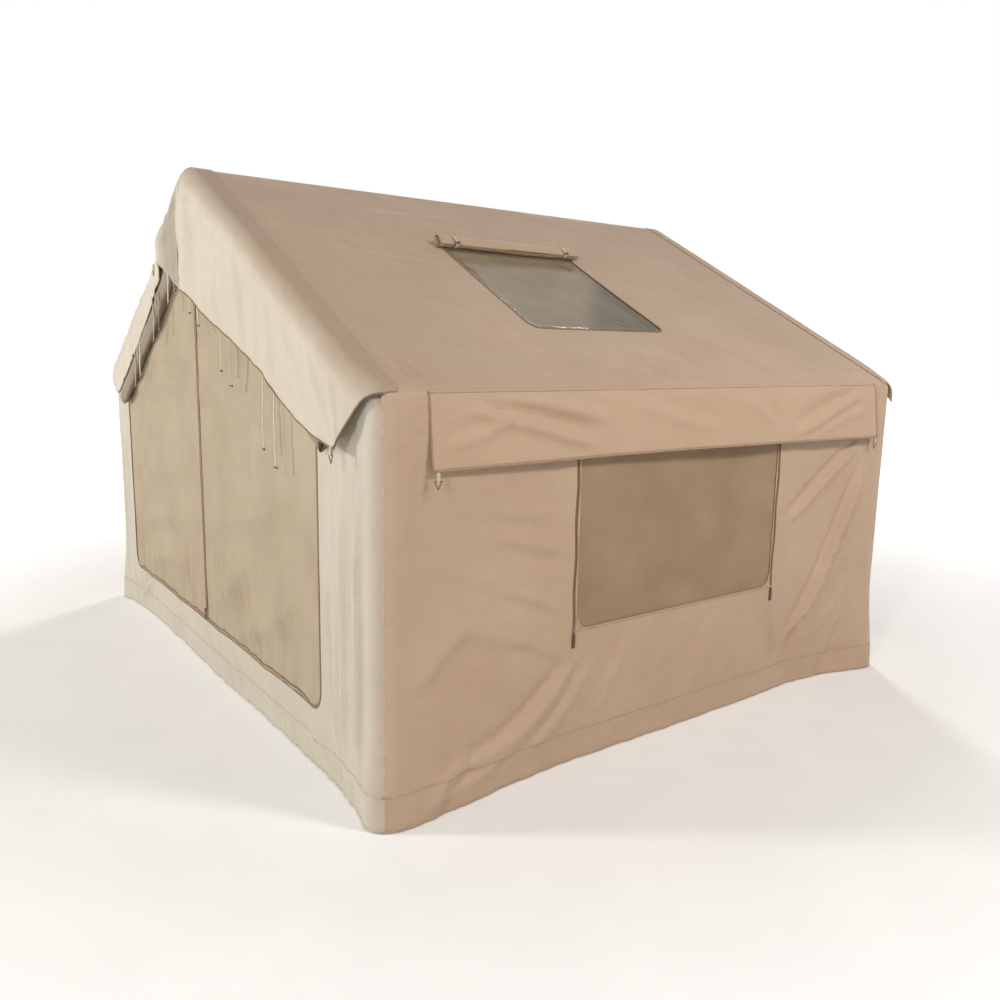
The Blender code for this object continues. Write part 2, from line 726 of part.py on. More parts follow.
def wire_triangle(corners, normal):
    """A closed triangle of round wire through three corners."""
    middle = sum(corners, Vector()) / 3
    count = 8
    rings = []
    for k, corner in enumerate(corners):
        before = (corner - corners[k - 1]).normalized()
        after = (corners[(k + 1) % 3] - corner).normalized()
        spread = (after - before).normalized()
        stretch = 1 / max(math.cos(before.angle(after) / 2), math.cos(math.radians(70)))
        if spread.dot(corner - middle) > 0:
            spread = -spread
        ring = []
        for step in range(count):
            angle = 2 * math.pi * (step + 0.5) / count
            sweep = math.cos(angle) * spread * stretch + math.sin(angle) * normal
            ring.append(corner + HOOK_WIRE_RADIUS * sweep)
        rings.append(ring)
    points = [p for ring in rings for p in ring]
    faces = []
    for row in range(3):
        for k in range(count):
            after = (k + 1) % count
            low = row * count
            high = (row + 1) % 3 * count
            faces.append((low + k, low + after, high + after, high + k))
    return points, faces


def hem_depth(shares, x):
    """Depth of a hem below the roof's plane, read between its stations."""
    along = min(x / HALF_WIDTH, 1.0)
    for (low, low_depth), (high, high_depth) in zip(shares, shares[1:]):
        if along <= high:
            return VALANCE_DEPTH * (low_depth + (high_depth - low_depth) * (along - low) / (high - low))
    return VALANCE_DEPTH * shares[-1][1]


def cut_at_height(points, height):
    """The part of a falling (y, z) line above a height."""
    kept = [points[0]]
    for (y, z), (next_y, next_z) in zip(points, points[1:]):
        if next_z <= height:
            share = (z - height) / (z - next_z)
            return kept + [(y + (next_y - y) * share, height)]
        kept.append((next_y, next_z))
    return kept


def respaced(points, count):
    """A line as evenly graded points, closer together at its start."""
    lengths = [math.dist(a, b) for a, b in zip(points, points[1:])]
    total = sum(lengths)
    made = [points[0]]
    for row in range(1, count):
        left = total * (row / count) ** ROW_SPREAD_SHARE
        for (a, b), length in zip(zip(points, points[1:]), lengths):
            if left <= length:
                made.append(tuple(a[i] + (b[i] - a[i]) * left / length for i in (0, 1)))
                break
            left -= length
    return made + [points[-1]]


def valance_profile(x, depth, radius, fold):
    """One column of a gable valance: lap, overhang, bend and hang, as (y, z) points."""
    axis_z = roof_z(x, COVER_SEAT)
    reach = radius / math.cos(FACET_TURN / 2)
    bend_y = -COLUMN_Y - VALANCE_OVERHANG
    line = []
    for angle in reversed(WRAP_ANGLES):
        line.append((bend_y - reach * math.cos(angle), axis_z + reach * math.sin(angle) / math.cos(PITCH)))
    line.append((bend_y - radius, roof_z(x) - 2 * VALANCE_DEPTH))
    line = respaced(cut_at_height(line, roof_z(x) - depth), VALANCE_ROWS)
    hang = [(y - fold(x, row / VALANCE_ROWS), z) for row, (y, z) in enumerate(line)]
    return [(-COLUMN_Y + VALANCE_LAP, axis_z + radius / math.cos(PITCH))] + hang


def smooth_share(value):
    """Eases a value between 0 and 1."""
    value = min(max(value, 0.0), 1.0)
    return value * value * (3 - 2 * value)


def right_fold(x, share):
    """How far the right valance's folds stand out, by place and share of its fall."""
    along = x / HALF_WIDTH
    corner = 1 - smooth_share((along - RIGHT_HOOK_SHARE) / (1 - RIGHT_HOOK_SHARE))
    return VALANCE_FOLD_DEPTH * share * ripple(RIGHT_FOLD_SHARES, along, share) * corner


def left_fold(x, share):
    """The left valance's folds, with the wrinkles of its gathered part."""
    along = x / HALF_WIDTH
    gathered = smooth_share((along - LEFT_HOOK_SHARE) / LEFT_HOOK_SHARE)
    corner = 1 - smooth_share((along - RIGHT_HOOK_SHARE) / (1 - RIGHT_HOOK_SHARE))
    loose = VALANCE_FOLD_DEPTH * share * ripple(LEFT_FOLD_SHARES, along, share)
    bunched = GATHER_BULGE * math.sin(math.pi * share) * ripple(GATHER_FOLD_SHARES, along, share)
    return loose * (1 - gathered) + bunched * gathered * corner


def lowest_between(line, start, end):
    """The lowest height of a line of (x, z) points between two values of x."""
    heights = [z for x, z in line if start < x < end]
    for (x, z), (next_x, next_z) in zip(line, line[1:]):
        for at in (start, end):
            if x <= at <= next_x:
                heights.append(z + (next_z - z) * (at - x) / (next_x - x))
    return min(heights)


def build_valances():
    """The hanging cloth over the front gable, and the plain verge at the rear."""
    inside = COVER_SEAT + SEAM_GAP
    sides = (
        (1, "right", RIGHT_HEM_SHARES, right_fold, RIGHT_HOOK_SHARE * HALF_WIDTH),
        (-1, "left", LEFT_HEM_SHARES, left_fold, LEFT_HOOK_SHARE * HALF_WIDTH),
    )
    for side, word, shares, fold, hook_x in sides:
        inner, outer = [], []
        for k in range(VALANCE_COLUMNS + 1):
            along = 1 - (1 - k / VALANCE_COLUMNS) ** COLUMN_SPREAD_SHARE
            x = SEAM_GAP + (HALF_WIDTH - SEAM_GAP) * along
            for grid, radius in ((inner, inside), (outer, inside + CLOTH)):
                profile = valance_profile(x, hem_depth(shares, x), radius, fold)
                grid.append([(x, y, z) for y, z in profile])
        add_part("valance_" + word, mirrored(sheet(inner, outer), side), SHELL_CREAM)
        middle = valance_profile(hook_x, hem_depth(shares, hook_x), inside + CLOTH / 2, fold)
        hem = [(column[-1][0], column[-1][2]) for column in outer]
        hem_z = lowest_between(hem, hook_x - LOOP_WIDTH, hook_x + LOOP_WIDTH)
        top = Vector((side * hook_x, middle[-1][0], hem_z - SEAM_GAP))
        build_hook(f"valance_{{}}_{word}", top, (0, 1))
    build_rear_verge(inside)


def build_rear_verge(inside):
    """The rear gable's edge binding, over both slopes in one piece."""
    rings = []
    for x in (-HALF_WIDTH, 0, HALF_WIDTH):
        axis_z = roof_z(x, COVER_SEAT)
        bend_y = COLUMN_Y + VERGE_OVERHANG
        sides = []
        for radius in (inside, inside + CLOTH):
            reach = radius / math.cos(FACET_TURN / 2)
            points = [(x, COLUMN_Y - VALANCE_LAP, axis_z + radius / math.cos(PITCH))]
            for angle in reversed(WRAP_ANGLES):
                rise = reach * math.sin(angle) / math.cos(PITCH)
                points.append((x, bend_y + reach * math.cos(angle), axis_z + rise))
            points.append((x, bend_y + radius, roof_z(x) - VERGE_DROP))
            sides.append(points)
        rings.append([Vector(p) for p in sides[0] + list(reversed(sides[1]))])
    add_part("rear_verge", loft(rings), SHELL_TAN)


def curtain_drop(x):
    """Depth of a rolled curtain's middle below the roof's plane."""
    along = (x - CURTAIN_ROLL_INNER_X) / (CURTAIN_ROLL_OUTER_X - CURTAIN_ROLL_INNER_X)
    return CURTAIN_ROLL_INNER_DROP + (CURTAIN_ROLL_OUTER_DROP - CURTAIN_ROLL_INNER_DROP) * along


def curtain_axis(along):
    """The centre of a rolled curtain under the right valance, sagging a little."""
    x = CURTAIN_ROLL_INNER_X + (CURTAIN_ROLL_OUTER_X - CURTAIN_ROLL_INNER_X) * along
    sag = CURTAIN_ROLL_SAG * abs(math.sin(3 * math.pi * along))
    return x, roof_z(x) - curtain_drop(x) - sag


def build_curtains():
    """The two rolled canvas curtains, and the tie tapes that hang from them."""
    centre_y = -HALF_DEPTH - SEAM_GAP - CURTAIN_ROLL_DEPTH / 2
    sides = ((1, "right", RIGHT_TIE_SHARES, RIGHT_TIE_TAIL), (-1, "left", LEFT_TIE_SHARES, LEFT_TIE_TAIL))
    for side, word, tie_shares, tail in sides:
        rings = []
        for k in range(CURTAIN_ROLL_STATIONS):
            along = k / (CURTAIN_ROLL_STATIONS - 1)
            x, z = curtain_axis(along)
            end = along in (0.0, 1.0)
            share = CURTAIN_END_SHARE if end else 1.0
            ring = []
            for step in range(CURTAIN_ROLL_SIDES):
                angle = 2 * math.pi * (step + 0.5) / CURTAIN_ROLL_SIDES
                out = share * CURTAIN_ROLL_DEPTH / 2 * math.cos(angle)
                up = share * CURTAIN_ROLL_HEIGHT / 2 * math.sin(angle)
                ring.append(Vector((x + up * math.sin(PITCH), centre_y - out, z + up * math.cos(PITCH))))
            rings.append(ring)
        add_part("curtain_roll_" + word, mirrored(loft(rings), side), CANVAS_GREY)
        for share, level in zip(tie_shares, ("upper", "middle", "lower")):
            shape = tie_tape(share, tail, centre_y)
            add_part(f"curtain_tie_{word}_{level}", mirrored(shape, side), TRIM_BLACK)


def roll_underside(x):
    """Height just under the rolled curtain at x."""
    half_height = CURTAIN_ROLL_HEIGHT / 2 + SEAM_GAP
    run = CURTAIN_ROLL_OUTER_X - CURTAIN_ROLL_INNER_X
    along = (x + half_height * math.sin(PITCH) - CURTAIN_ROLL_INNER_X) / run
    return curtain_axis(along)[1] - half_height * math.cos(PITCH)


def straight_under_roll(start, end):
    """A height for each x on a straight line that lies just under the rolled curtain."""
    start_z = roll_underside(start)
    fall = (roll_underside(end) - start_z) / (end - start)
    dip = 0.0
    for k in range(TIE_STEPS + 1):
        x = start + (end - start) * k / TIE_STEPS
        dip = max(dip, start_z + fall * (x - start) - roll_underside(x))
    return lambda x: start_z - dip + fall * (x - start)


def tie_tape(share, tail, y):
    """A tape under the curtain roll whose two tails hang down, each ending in a toggle."""
    x, _ = curtain_axis(share)
    half = TOGGLE_RADIUS
    tape = TIE_WIDTH / 2
    near = x - TIE_SPREAD / 2
    far = x + TIE_SPREAD / 2
    bar_z = straight_under_roll(near - tape, far + tape)
    outline = []
    for tail_x in (near, far):
        foot = bar_z(tail_x) - tail
        neck = foot + TOGGLE_LENGTH
        outline.append(
            [
                (tail_x - tape, neck),
                (tail_x - half, neck),
                (tail_x - half, foot),
                (tail_x + half, foot),
                (tail_x + half, neck),
                (tail_x + tape, neck),
            ]
        )
    under = TIE_WIDTH
    points = [(near - tape, bar_z(near - tape))]
    points += outline[0]
    points += [(at, bar_z(at) - under) for at in (near + tape, far - tape)]
    points += outline[1]
    points += [(far + tape, bar_z(far + tape))]
    flat = [(px, 0, pz) for px, pz in points]
    return extrude(flat, (0, y - TIE_THICKNESS / 2, 0), (0, y + TIE_THICKNESS / 2, 0))


def build_door():
    """Two mesh leaves hinged at the jambs, the zip between them and its slider."""
    sill = DOOR_SILL + SEAM_GAP
    drop = DOOR_HEAD_DROP + DOOR_CLEARANCE
    foot = sill + ZIP_SIDE_MARGIN
    head = roof_z(DOOR_CENTRE_X - ZIP_WIDTH) - drop - ZIP_SIDE_MARGIN
    for side, word in ((1, "right"), (-1, "left")):
        meeting = DOOR_CENTRE_X + side * DOOR_CENTRE_GAP
        jamb = DOOR_CENTRE_X + side * (DOOR_HALF_WIDTH - SEAM_GAP)
        flat = door_outline(min(meeting, jamb), max(meeting, jamb), sill, drop)
        outline = [(x, 0, z) for x, z in flat]
        shape = extrude(outline, (0, -HALF_DEPTH, 0), (0, -HALF_DEPTH + CLOTH, 0))
        pivot = (jamb, -HALF_DEPTH + CLOTH, 0)
        leaf = add_part("door_leaf_" + word, shape, MESH_TAN, pivot=pivot)
        low = -HALF_DEPTH - SEAM_GAP - ZIP_THICKNESS
        edge = meeting + side * ZIP_WIDTH
        tape = [
            (meeting, low, 0),
            (edge, low, 0),
            (edge, low + ZIP_THICKNESS, 0),
            (meeting, low + ZIP_THICKNESS, 0),
        ]
        shape = extrude(tape, (0, 0, foot), (0, 0, head))
        add_part("door_zip_" + word, shape, ZIP_BROWN, pivot=pivot, parent=leaf)
    middle = DOOR_CENTRE_X - DOOR_CENTRE_GAP - SLIDER_WIDTH / 2

    def place(out, across, z):
        return Vector((middle + across, -out, z))

    zip_face = HALF_DEPTH + SEAM_GAP + ZIP_THICKNESS
    build_slider("door_zip_slider", (zip_face, place), foot + SLIDER_REST_ABOVE_FOOT, leaf)


def turned(outline, centre, axis, side):
    """A solid turned round an axis from (distance along it, radius) points, both ends closed."""
    up = axis.cross(side)
    rings = []
    for along, radius in outline:
        ring = []
        for k in range(VALVE_SIDES):
            angle = 2 * math.pi * k / VALVE_SIDES
            ring.append(centre + along * axis + radius * (math.cos(angle) * side + math.sin(angle) * up))
        rings.append(ring)
    return loft(rings)


def build_valve():
    """The inflation valve on the right rear column: body, sprung plunger and screw cap."""
    axis = Vector((-1, 0, 0))
    side = Vector((0, 1, 0))
    seat = Vector((COLUMN_X - ARCH_BEAM_RADIUS - SEAM_GAP, COLUMN_Y, VALVE_HEIGHT))
    length = VALVE_BARREL_LENGTH
    stem_foot = VALVE_FLOOR + VALVE_TRAVEL + SEAM_GAP
    guide_top = stem_foot + VALVE_GUIDE
    guide_radius = VALVE_STEM_RADIUS + VALVE_FIT
    body = [
        (0, VALVE_FLANGE_RADIUS),
        (VALVE_FLANGE_THICKNESS, VALVE_FLANGE_RADIUS),
        (VALVE_FLANGE_THICKNESS, VALVE_BARREL_RADIUS),
        (length, VALVE_BARREL_RADIUS),
        (length, VALVE_BORE_RADIUS),
        (guide_top, VALVE_BORE_RADIUS),
        (guide_top, guide_radius),
        (VALVE_FLOOR, guide_radius),
    ]
    add_part("inflation_valve_body", turned(body, seat, axis, side), TRIM_BLACK, 0.4)
    head = guide_top + VALVE_TRAVEL + SEAM_GAP
    plunger = [
        (stem_foot, VALVE_STEM_RADIUS),
        (head, VALVE_STEM_RADIUS),
        (head, VALVE_PLUNGER_RADIUS),
        (head + VALVE_PLUNGER_THICKNESS, VALVE_PLUNGER_RADIUS),
    ]
    pivot = seat + head * axis
    add_part("inflation_valve_plunger", turned(plunger, seat, axis, side), MESH_BROWN, 0.4, pivot=pivot)
    inside = VALVE_BARREL_RADIUS + VALVE_FIT
    outside = inside + VALVE_CAP_WALL
    rim = length + SEAM_GAP
    cap = [
        (rim, inside),
        (rim - VALVE_CAP_SKIRT, inside),
        (rim - VALVE_CAP_SKIRT, outside),
        (rim + VALVE_CAP_WALL, outside),
    ]
    pivot = seat + rim * axis
    add_part("inflation_valve_cap", turned(cap, seat, axis, side), TRIM_BLACK, 0.4, pivot=pivot)


def main():
    clear_scene()
    build_frame()
    build_floor_and_skirt()
    build_walls()
    build_roof()
    build_windows()
    build_eave_flaps()
    build_valances()
    build_curtains()
    build_door()
    build_valve()


main()
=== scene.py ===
import json
import math

import bpy
import numpy as np
from mathutils import Matrix, Vector

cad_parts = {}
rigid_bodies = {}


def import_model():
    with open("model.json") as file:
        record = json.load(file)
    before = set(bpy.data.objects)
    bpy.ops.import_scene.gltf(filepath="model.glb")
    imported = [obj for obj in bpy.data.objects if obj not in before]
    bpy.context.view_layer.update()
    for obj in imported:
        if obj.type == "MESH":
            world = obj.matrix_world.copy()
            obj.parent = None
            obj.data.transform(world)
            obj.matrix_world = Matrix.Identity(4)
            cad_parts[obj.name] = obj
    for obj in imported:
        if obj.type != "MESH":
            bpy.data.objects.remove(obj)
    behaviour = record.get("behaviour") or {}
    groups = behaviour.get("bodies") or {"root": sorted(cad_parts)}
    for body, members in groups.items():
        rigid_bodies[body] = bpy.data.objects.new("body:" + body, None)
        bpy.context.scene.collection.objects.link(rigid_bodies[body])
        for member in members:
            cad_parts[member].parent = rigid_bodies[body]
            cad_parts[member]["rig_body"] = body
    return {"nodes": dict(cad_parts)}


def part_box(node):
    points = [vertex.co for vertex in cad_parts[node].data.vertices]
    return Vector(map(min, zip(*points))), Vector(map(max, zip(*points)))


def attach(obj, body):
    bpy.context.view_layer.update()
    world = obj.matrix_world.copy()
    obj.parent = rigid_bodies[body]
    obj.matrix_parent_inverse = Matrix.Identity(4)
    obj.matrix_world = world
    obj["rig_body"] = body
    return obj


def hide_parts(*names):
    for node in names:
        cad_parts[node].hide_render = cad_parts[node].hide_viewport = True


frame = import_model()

for thing in list(bpy.data.objects):
    if thing.get("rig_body") is None and not thing.name.startswith("body:"):
        bpy.data.objects.remove(thing)
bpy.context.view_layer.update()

# ---------------------------------------------------------------- sizes
# The tent's own sizes, in metres, as the CAD has them. Outer faces of the cloth.
HALF_X, HALF_Y = 1.75, 1.50
EAVE_Z, RIDGE_Z = 1.52, 2.45
SLOPE = (RIDGE_Z - EAVE_Z) / HALF_X
PITCH = math.atan(SLOPE)
COS, SIN = math.cos(PITCH), math.sin(PITCH)
COL_X, COL_Y, COL_R = 1.6857, 1.4357, 0.0643  # the corner columns: axis, and the cloth round them
EAVE_X, EAVE_BEAM_Z, EAVE_R = 1.6957, 1.4863, 0.0543  # the eave beams, the same
BEND_X, BEND_MIDDLE, BEND_OUTER = 1.7213, 0.0548, 0.0553  # where the roof bends over the eave, and its radii
SKIRT_Z, FOOT_Z = 0.13, 0.0045
DOOR_LEFT, DOOR_RIGHT, DOOR_SEAM = -1.42, 1.30, -0.06
SILL_Z, HEAD_DROP, DOOR_ROUND = 0.27, 0.27, 0.09
WINDOW, WINDOW_ROUND = (-0.62, 0.58, 0.57, 1.33), 0.06
SKYLIGHT, SKYLIGHT_ROUND = (-0.53, 0.26, 0.70, 1.49), 0.05
ZIP_Y = {"front": -0.635, "rear": 0.595}
SIDE_TURN, GABLE_TURN = 0.576, 0.995  # how far each wall wraps round a column, in radians
SIDE_END, GABLE_END = COL_Y + COL_R * SIDE_TURN, COL_X + COL_R * GABLE_TURN
WALL_TOP = EAVE_BEAM_Z + EAVE_R * 0.566
LAP, EDGE_LIFT = 0.02, 0.0035  # how much of a valance and of the verge lies on the roof, and how high
CELL = 0.0135  # the cloth's grid
SIDES = ((1, "right"), (-1, "left"))
COVER, COVER_FRONT, TAPE = "cover_cloth", "cover_cloth_front", "black_webbing"  # slots


def rake(x):
    """Height of the roof line over x, with the ridge rounded over its beam."""
    return RIDGE_Z - SLOPE * np.sqrt(np.square(x) + 0.014 ** 2)


# ---------------------------------------------------------------- fields
def ease(t):
    """0 up to t = 0, 1 from t = 1, smooth between."""
    t = np.clip(t, 0.0, 1.0)
    return t * t * (3 - 2 * t)


def band(t, a, b, soft):
    """1 between a and b, easing to 0 over soft outside them."""
    return ease((t - a + soft) / soft) * ease((b + soft - t) / soft)


def soft_noise(u, v, size_u, size_v, seed, turn=0.0):
    """Smooth seeded noise, about -1 to 1, with its grain size_u by size_v metres."""
    table = np.random.default_rng(seed).uniform(-1, 1, (64, 64))
    c, s = math.cos(turn), math.sin(turn)
    a, b = (u * c + v * s) / size_u + 31.7, (v * c - u * s) / size_v + 17.3
    i, j = np.floor(a).astype(int), np.floor(b).astype(int)
    fa, fb = a - i, b - j
    fa = fa ** 3 * (fa * (fa * 6 - 15) + 10)
    fb = fb ** 3 * (fb * (fb * 6 - 15) + 10)
    i0, i1, j0, j1 = i % 64, (i + 1) % 64, j % 64, (j + 1) % 64
    low = table[i0, j0] * (1 - fa) + table[i1, j0] * fa
    high = table[i0, j1] * (1 - fa) + table[i1, j1] * fa
    return low * (1 - fb) + high * fb


def cloth_noise(u, v, size, seed, turn=0.0, stretch=1.0):
    """Two turned layers of noise, so that no grid shows."""
    first = soft_noise(u, v, size * stretch, size, seed, turn)
    second = soft_noise(u, v, size * stretch * 0.83, size * 0.83, seed + 50, turn + 0.61)
    return 0.6 * first + 0.5 * second


def rucks(u, v, size, seed, turn=0.0, stretch=3.0):
    """Ridged noise: soft crests that run along turn, flat between them."""
    n = soft_noise(u, v, size * stretch, size, seed, turn)
    m = soft_noise(u, v, size * 4, size * 4, seed + 9, turn + 0.4)
    return (1 - np.abs(n)) ** 3 * ease(m * 0.9 + 0.45)


def curve_through(points, steps=10):
    """Points of a smooth curve through the given ones."""
    pts = np.array(points, float)
    if len(pts) == 2:
        t = np.linspace(0, 1, steps + 1)[:, None]
        return pts[0] * (1 - t) + pts[1] * t
    out = []
    padded = np.vstack([2 * pts[0] - pts[1], pts, 2 * pts[-1] - pts[-2]])
    for k in range(len(pts) - 1):
        p0, p1, p2, p3 = padded[k:k + 4]
        for t in np.linspace(0, 1, steps, endpoint=False):
            out.append(0.5 * ((2 * p1) + (p2 - p0) * t + (2 * p0 - 5 * p1 + 4 * p2 - p3) * t * t
                              + (3 * p1 - p0 - 3 * p2 + p3) * t ** 3))
    out.append(pts[-1])
    return np.array(out)


def fold(u, v, points, width, height, valley=0.5, ends=0.25):
    """A soft crease along a curve: a crest with a valley beside it, fading at its ends."""
    line = curve_through(points, 6)
    length = np.concatenate([[0], np.cumsum(np.hypot(*np.diff(line, axis=0).T))])
    best, signed, along = np.full(u.shape, 1e9), np.zeros(u.shape), np.zeros(u.shape)
    for k in range(len(line) - 1):
        a, b = line[k], line[k + 1]
        d = b - a
        size = d @ d
        t = np.clip(((u - a[0]) * d[0] + (v - a[1]) * d[1]) / size, 0, 1)
        x, y = u - a[0] - t * d[0], v - a[1] - t * d[1]
        away = x * x + y * y
        near = away < best
        best = np.where(near, away, best)
        side = np.sign(d[0] * y - d[1] * x)
        signed = np.where(near, side * np.sqrt(away), signed)
        along = np.where(near, (length[k] + t * math.sqrt(size)) / length[-1], along)
    crest = 0.7 * np.exp(-(signed / width) ** 2) + 0.3 * np.exp(-np.abs(signed) / (0.4 * width))
    shape = crest - valley * np.exp(-((signed + 1.9 * width) / (1.4 * width)) ** 2)
    return height * shape * ease(along / ends) * ease((1 - along) / ends)


def folds(u, v, table):
    """The sum of some creases: each row has its curve's points, then its width and height."""
    return sum(fold(u, v, np.reshape(row[:-2], (-1, 2)), *row[-2:]) for row in table)


def inset(u, v, box, soft):
    """0 on the sides of a box (low u, high u, low v, high v), easing to 1 within soft of them."""
    return ease((u - box[0]) / soft) * ease((box[1] - u) / soft) * ease((v - box[2]) / soft) * ease((box[3] - v) / soft)


def lean(x):
    """How much the cloth over a gable's edge leans away from the ridge."""
    return SIN * np.clip(x / 0.06, -1, 1) * (1 - np.abs(x) / HALF_X)


# ---------------------------------------------------------------- meshes
def inside(u, v, ring):
    """Which points lie inside a closed ring."""
    hit = np.zeros(u.shape, bool)
    for (x0, y0), (x1, y1) in zip(ring, np.roll(ring, -1, axis=0)):
        if y0 == y1:
            continue
        cross = (v > min(y0, y1)) & (v <= max(y0, y1))
        hit ^= cross & (u < x0 + (v - y0) * (x1 - x0) / (y1 - y0))
    return hit


def snapped(points, rings):
    """The nearest place on the rings for each point, and the rings' own corners."""
    best, place = np.full(len(points), 1e9), points.copy()
    for ring in rings:
        for a, b in zip(ring, np.roll(ring, -1, axis=0)):
            d = b - a
            t = np.clip(((points - a) @ d) / max(d @ d, 1e-12), 0, 1)
            q = a + t[:, None] * d
            away = ((points - q) ** 2).sum(1)
            near = away < best
            best[near], place[near] = away[near], q[near]
    for ring in rings:
        for k, corner in enumerate(ring):
            a, b = ring[k - 1] - corner, ring[(k + 1) % len(ring)] - corner
            if abs(a[0] * b[1] - a[1] * b[0]) > 0.35 * np.hypot(*a) * np.hypot(*b):
                place[np.argmin(((points - corner) ** 2).sum(1))] = corner
    return place


def flat_grid(outline, step, holes=()):
    """A sheet of square cells cut to the outline, as flat points and faces."""
    outline = np.array(outline, float)
    holes = [np.array(h, float) for h in holes]
    low, high = outline.min(0), outline.max(0)
    nu, nv = (max(2, int(round(d / step))) for d in high - low)
    us, vs = np.linspace(low[0], high[0], nu + 1), np.linspace(low[1], high[1], nv + 1)
    U, V = np.meshgrid(us, vs, indexing="ij")
    cu, cv = np.meshgrid((us[1:] + us[:-1]) / 2, (vs[1:] + vs[:-1]) / 2, indexing="ij")
    kept = inside(cu, cv, outline)
    for hole in holes:
        kept &= ~inside(cu, cv, hole)
    count = np.zeros(U.shape, int)
    for di in (0, 1):
        for dj in (0, 1):
            count[di:di + nu, dj:dj + nv] += kept
    points = np.stack([U, V], -1).reshape(-1, 2)
    edge = ((count > 0) & (count < 4)).reshape(-1)
    points[edge] = snapped(points[edge], [outline, *holes])
    index = np.arange(len(points)).reshape(nu + 1, nv + 1)
    i, j = np.nonzero(kept)
    faces = np.stack([index[i, j], index[i + 1, j], index[i + 1, j + 1], index[i, j + 1]], -1)
    used = np.unique(faces)
    renumber = np.zeros(len(points), int)
    renumber[used] = np.arange(len(used))
    return points[used], renumber[faces].tolist()


def block_grid(nu, nv, wrap=False):
    """Faces of a grid of nu by nv points, u first. wrap closes it along v."""
    index = np.arange(nu * nv).reshape(nu, nv)
    if wrap:
        index = np.hstack([index, index[:, :1]])
    a, b = index[:-1, :-1], index[1:, :-1]
    c, d = index[1:, 1:], index[:-1, 1:]
    return np.stack([a, b, c, d], -1).reshape(-1, 4).tolist()


def piece(name, parts, material, node=None, body="tent", thick=0.0):
    """One object from parts of (points, faces, flat). flat is the cloth's own metres, for the weave."""
    points = np.vstack([p[0] for p in parts])
    flats = np.vstack([np.pad(np.asarray(p[2], float), ((0, 0), (0, 3 - np.shape(p[2])[1]))) for p in parts])
    faces, base = [], 0
    for p in parts:
        faces += [[i + base for i in face] for face in p[1]]
        base += len(p[0])
    mesh = bpy.data.meshes.new(name)
    mesh.from_pydata(points.tolist(), [], faces)
    mesh.attributes.new("cloth", "FLOAT_VECTOR", "POINT").data.foreach_set("vector", flats.ravel())
    mesh.polygons.foreach_set("use_smooth", [True] * len(mesh.polygons))
    mesh.materials.append(material)
    mesh.update()
    obj = bpy.data.objects.new(name, mesh)
    bpy.context.scene.collection.objects.link(obj)
    if thick:
        made = obj.modifiers.new("thickness", "SOLIDIFY")
        made.thickness, made.offset = thick, 0.0
    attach(obj, body)
    if node:
        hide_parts(node)
    return obj


def spread(place, outline, side, step=CELL, holes=()):
    """A flat outline's grid put in its place, as one part for piece()."""
    points, faces = flat_grid(outline, step, holes)
    return place(points[:, 0], points[:, 1], side), faces, points


def box_ring(low_u, high_u, low_v, high_v):
    """A rectangle's four corners in order."""
    return [(low_u, low_v), (high_u, low_v), (high_u, high_v), (low_u, high_v)]


def shrunk(box, by=0.001):
    """A box that is smaller by so much on each side."""
    return box[0] + by, box[1] - by, box[2] + by, box[3] - by


def dense_line(points, step_count):
    """A line with step_count(length) points on each of its straight runs, and its end."""
    runs = zip(points[:-1], points[1:])
    return np.vstack([np.linspace(a, b, step_count(np.hypot(*(b - a))), endpoint=False) for a, b in runs]
                     + [points[-1:]])


def run_length(path):
    """How far each point of a path is from its start, along it."""
    return np.concatenate([[0], np.cumsum(np.linalg.norm(np.diff(path, axis=0), axis=1))])


def frames(path, ups):
    """Tangent, side and up at each point of a path."""
    path = np.asarray(path, float)
    tangent = np.gradient(path, axis=0)
    tangent /= np.linalg.norm(tangent, axis=1)[:, None] + 1e-12
    up = np.broadcast_to(np.asarray(ups, float), path.shape).copy()
    up -= (up * tangent).sum(1)[:, None] * tangent
    up /= np.linalg.norm(up, axis=1)[:, None] + 1e-12
    return tangent, np.cross(tangent, up), up


def sweep(path, ups, section, closed=True, caps=True, scale=None):
    """A section of (side, up) pairs carried along a path."""
    path = np.asarray(path, float)
    tangent, side, up = frames(path, ups)
    section = np.asarray(section, float)
    if section.ndim == 2:
        section = np.broadcast_to(section, (len(path), *section.shape))
    size = np.ones(len(path)) if scale is None else np.asarray(scale, float)
    a = section[..., 0] * size[:, None]
    b = section[..., 1] * size[:, None]
    points = path[:, None] + side[:, None] * a[..., None] + up[:, None] * b[..., None]
    n, m = points.shape[:2]
    along = run_length(path)
    loop = np.concatenate([np.zeros((n, 1)), np.cumsum(np.hypot(np.diff(a, axis=1), np.diff(b, axis=1)), 1)], 1)
    flat = np.stack([np.broadcast_to(along[:, None], (n, m)), a if not closed else loop, b], -1)
    faces = block_grid(n, m, closed)
    if closed and caps:
        faces += [list(range(m)), [(n - 1) * m + k for k in range(m)][::-1]]
    return points.reshape(-1, 3), faces, flat.reshape(-1, 3)


def strip(path, ups, width, height):
    """A stitched tape or binding: a low crowned strip along a path on a surface."""
    w, h = width / 2, height
    section = [(-w, -0.0006), (-w, 0.45 * h), (-0.82 * w, 0.9 * h), (-0.3 * w, h), (0.3 * w, h),
               (0.82 * w, 0.9 * h), (w, 0.45 * h), (w, -0.0006)]
    points, faces, flat = sweep(path, ups, section)
    flat = flat.copy()
    flat[:, 1] = np.tile([s[0] for s in section], len(path))
    return points, faces, flat


def round_section(radius, count=12, flatten=1.0):
    """A circle, or an ellipse that is flattened in its height."""
    t = np.linspace(0, 2 * math.pi, count, endpoint=False)
    return np.stack([radius * np.cos(t), radius * flatten * np.sin(t)], -1)


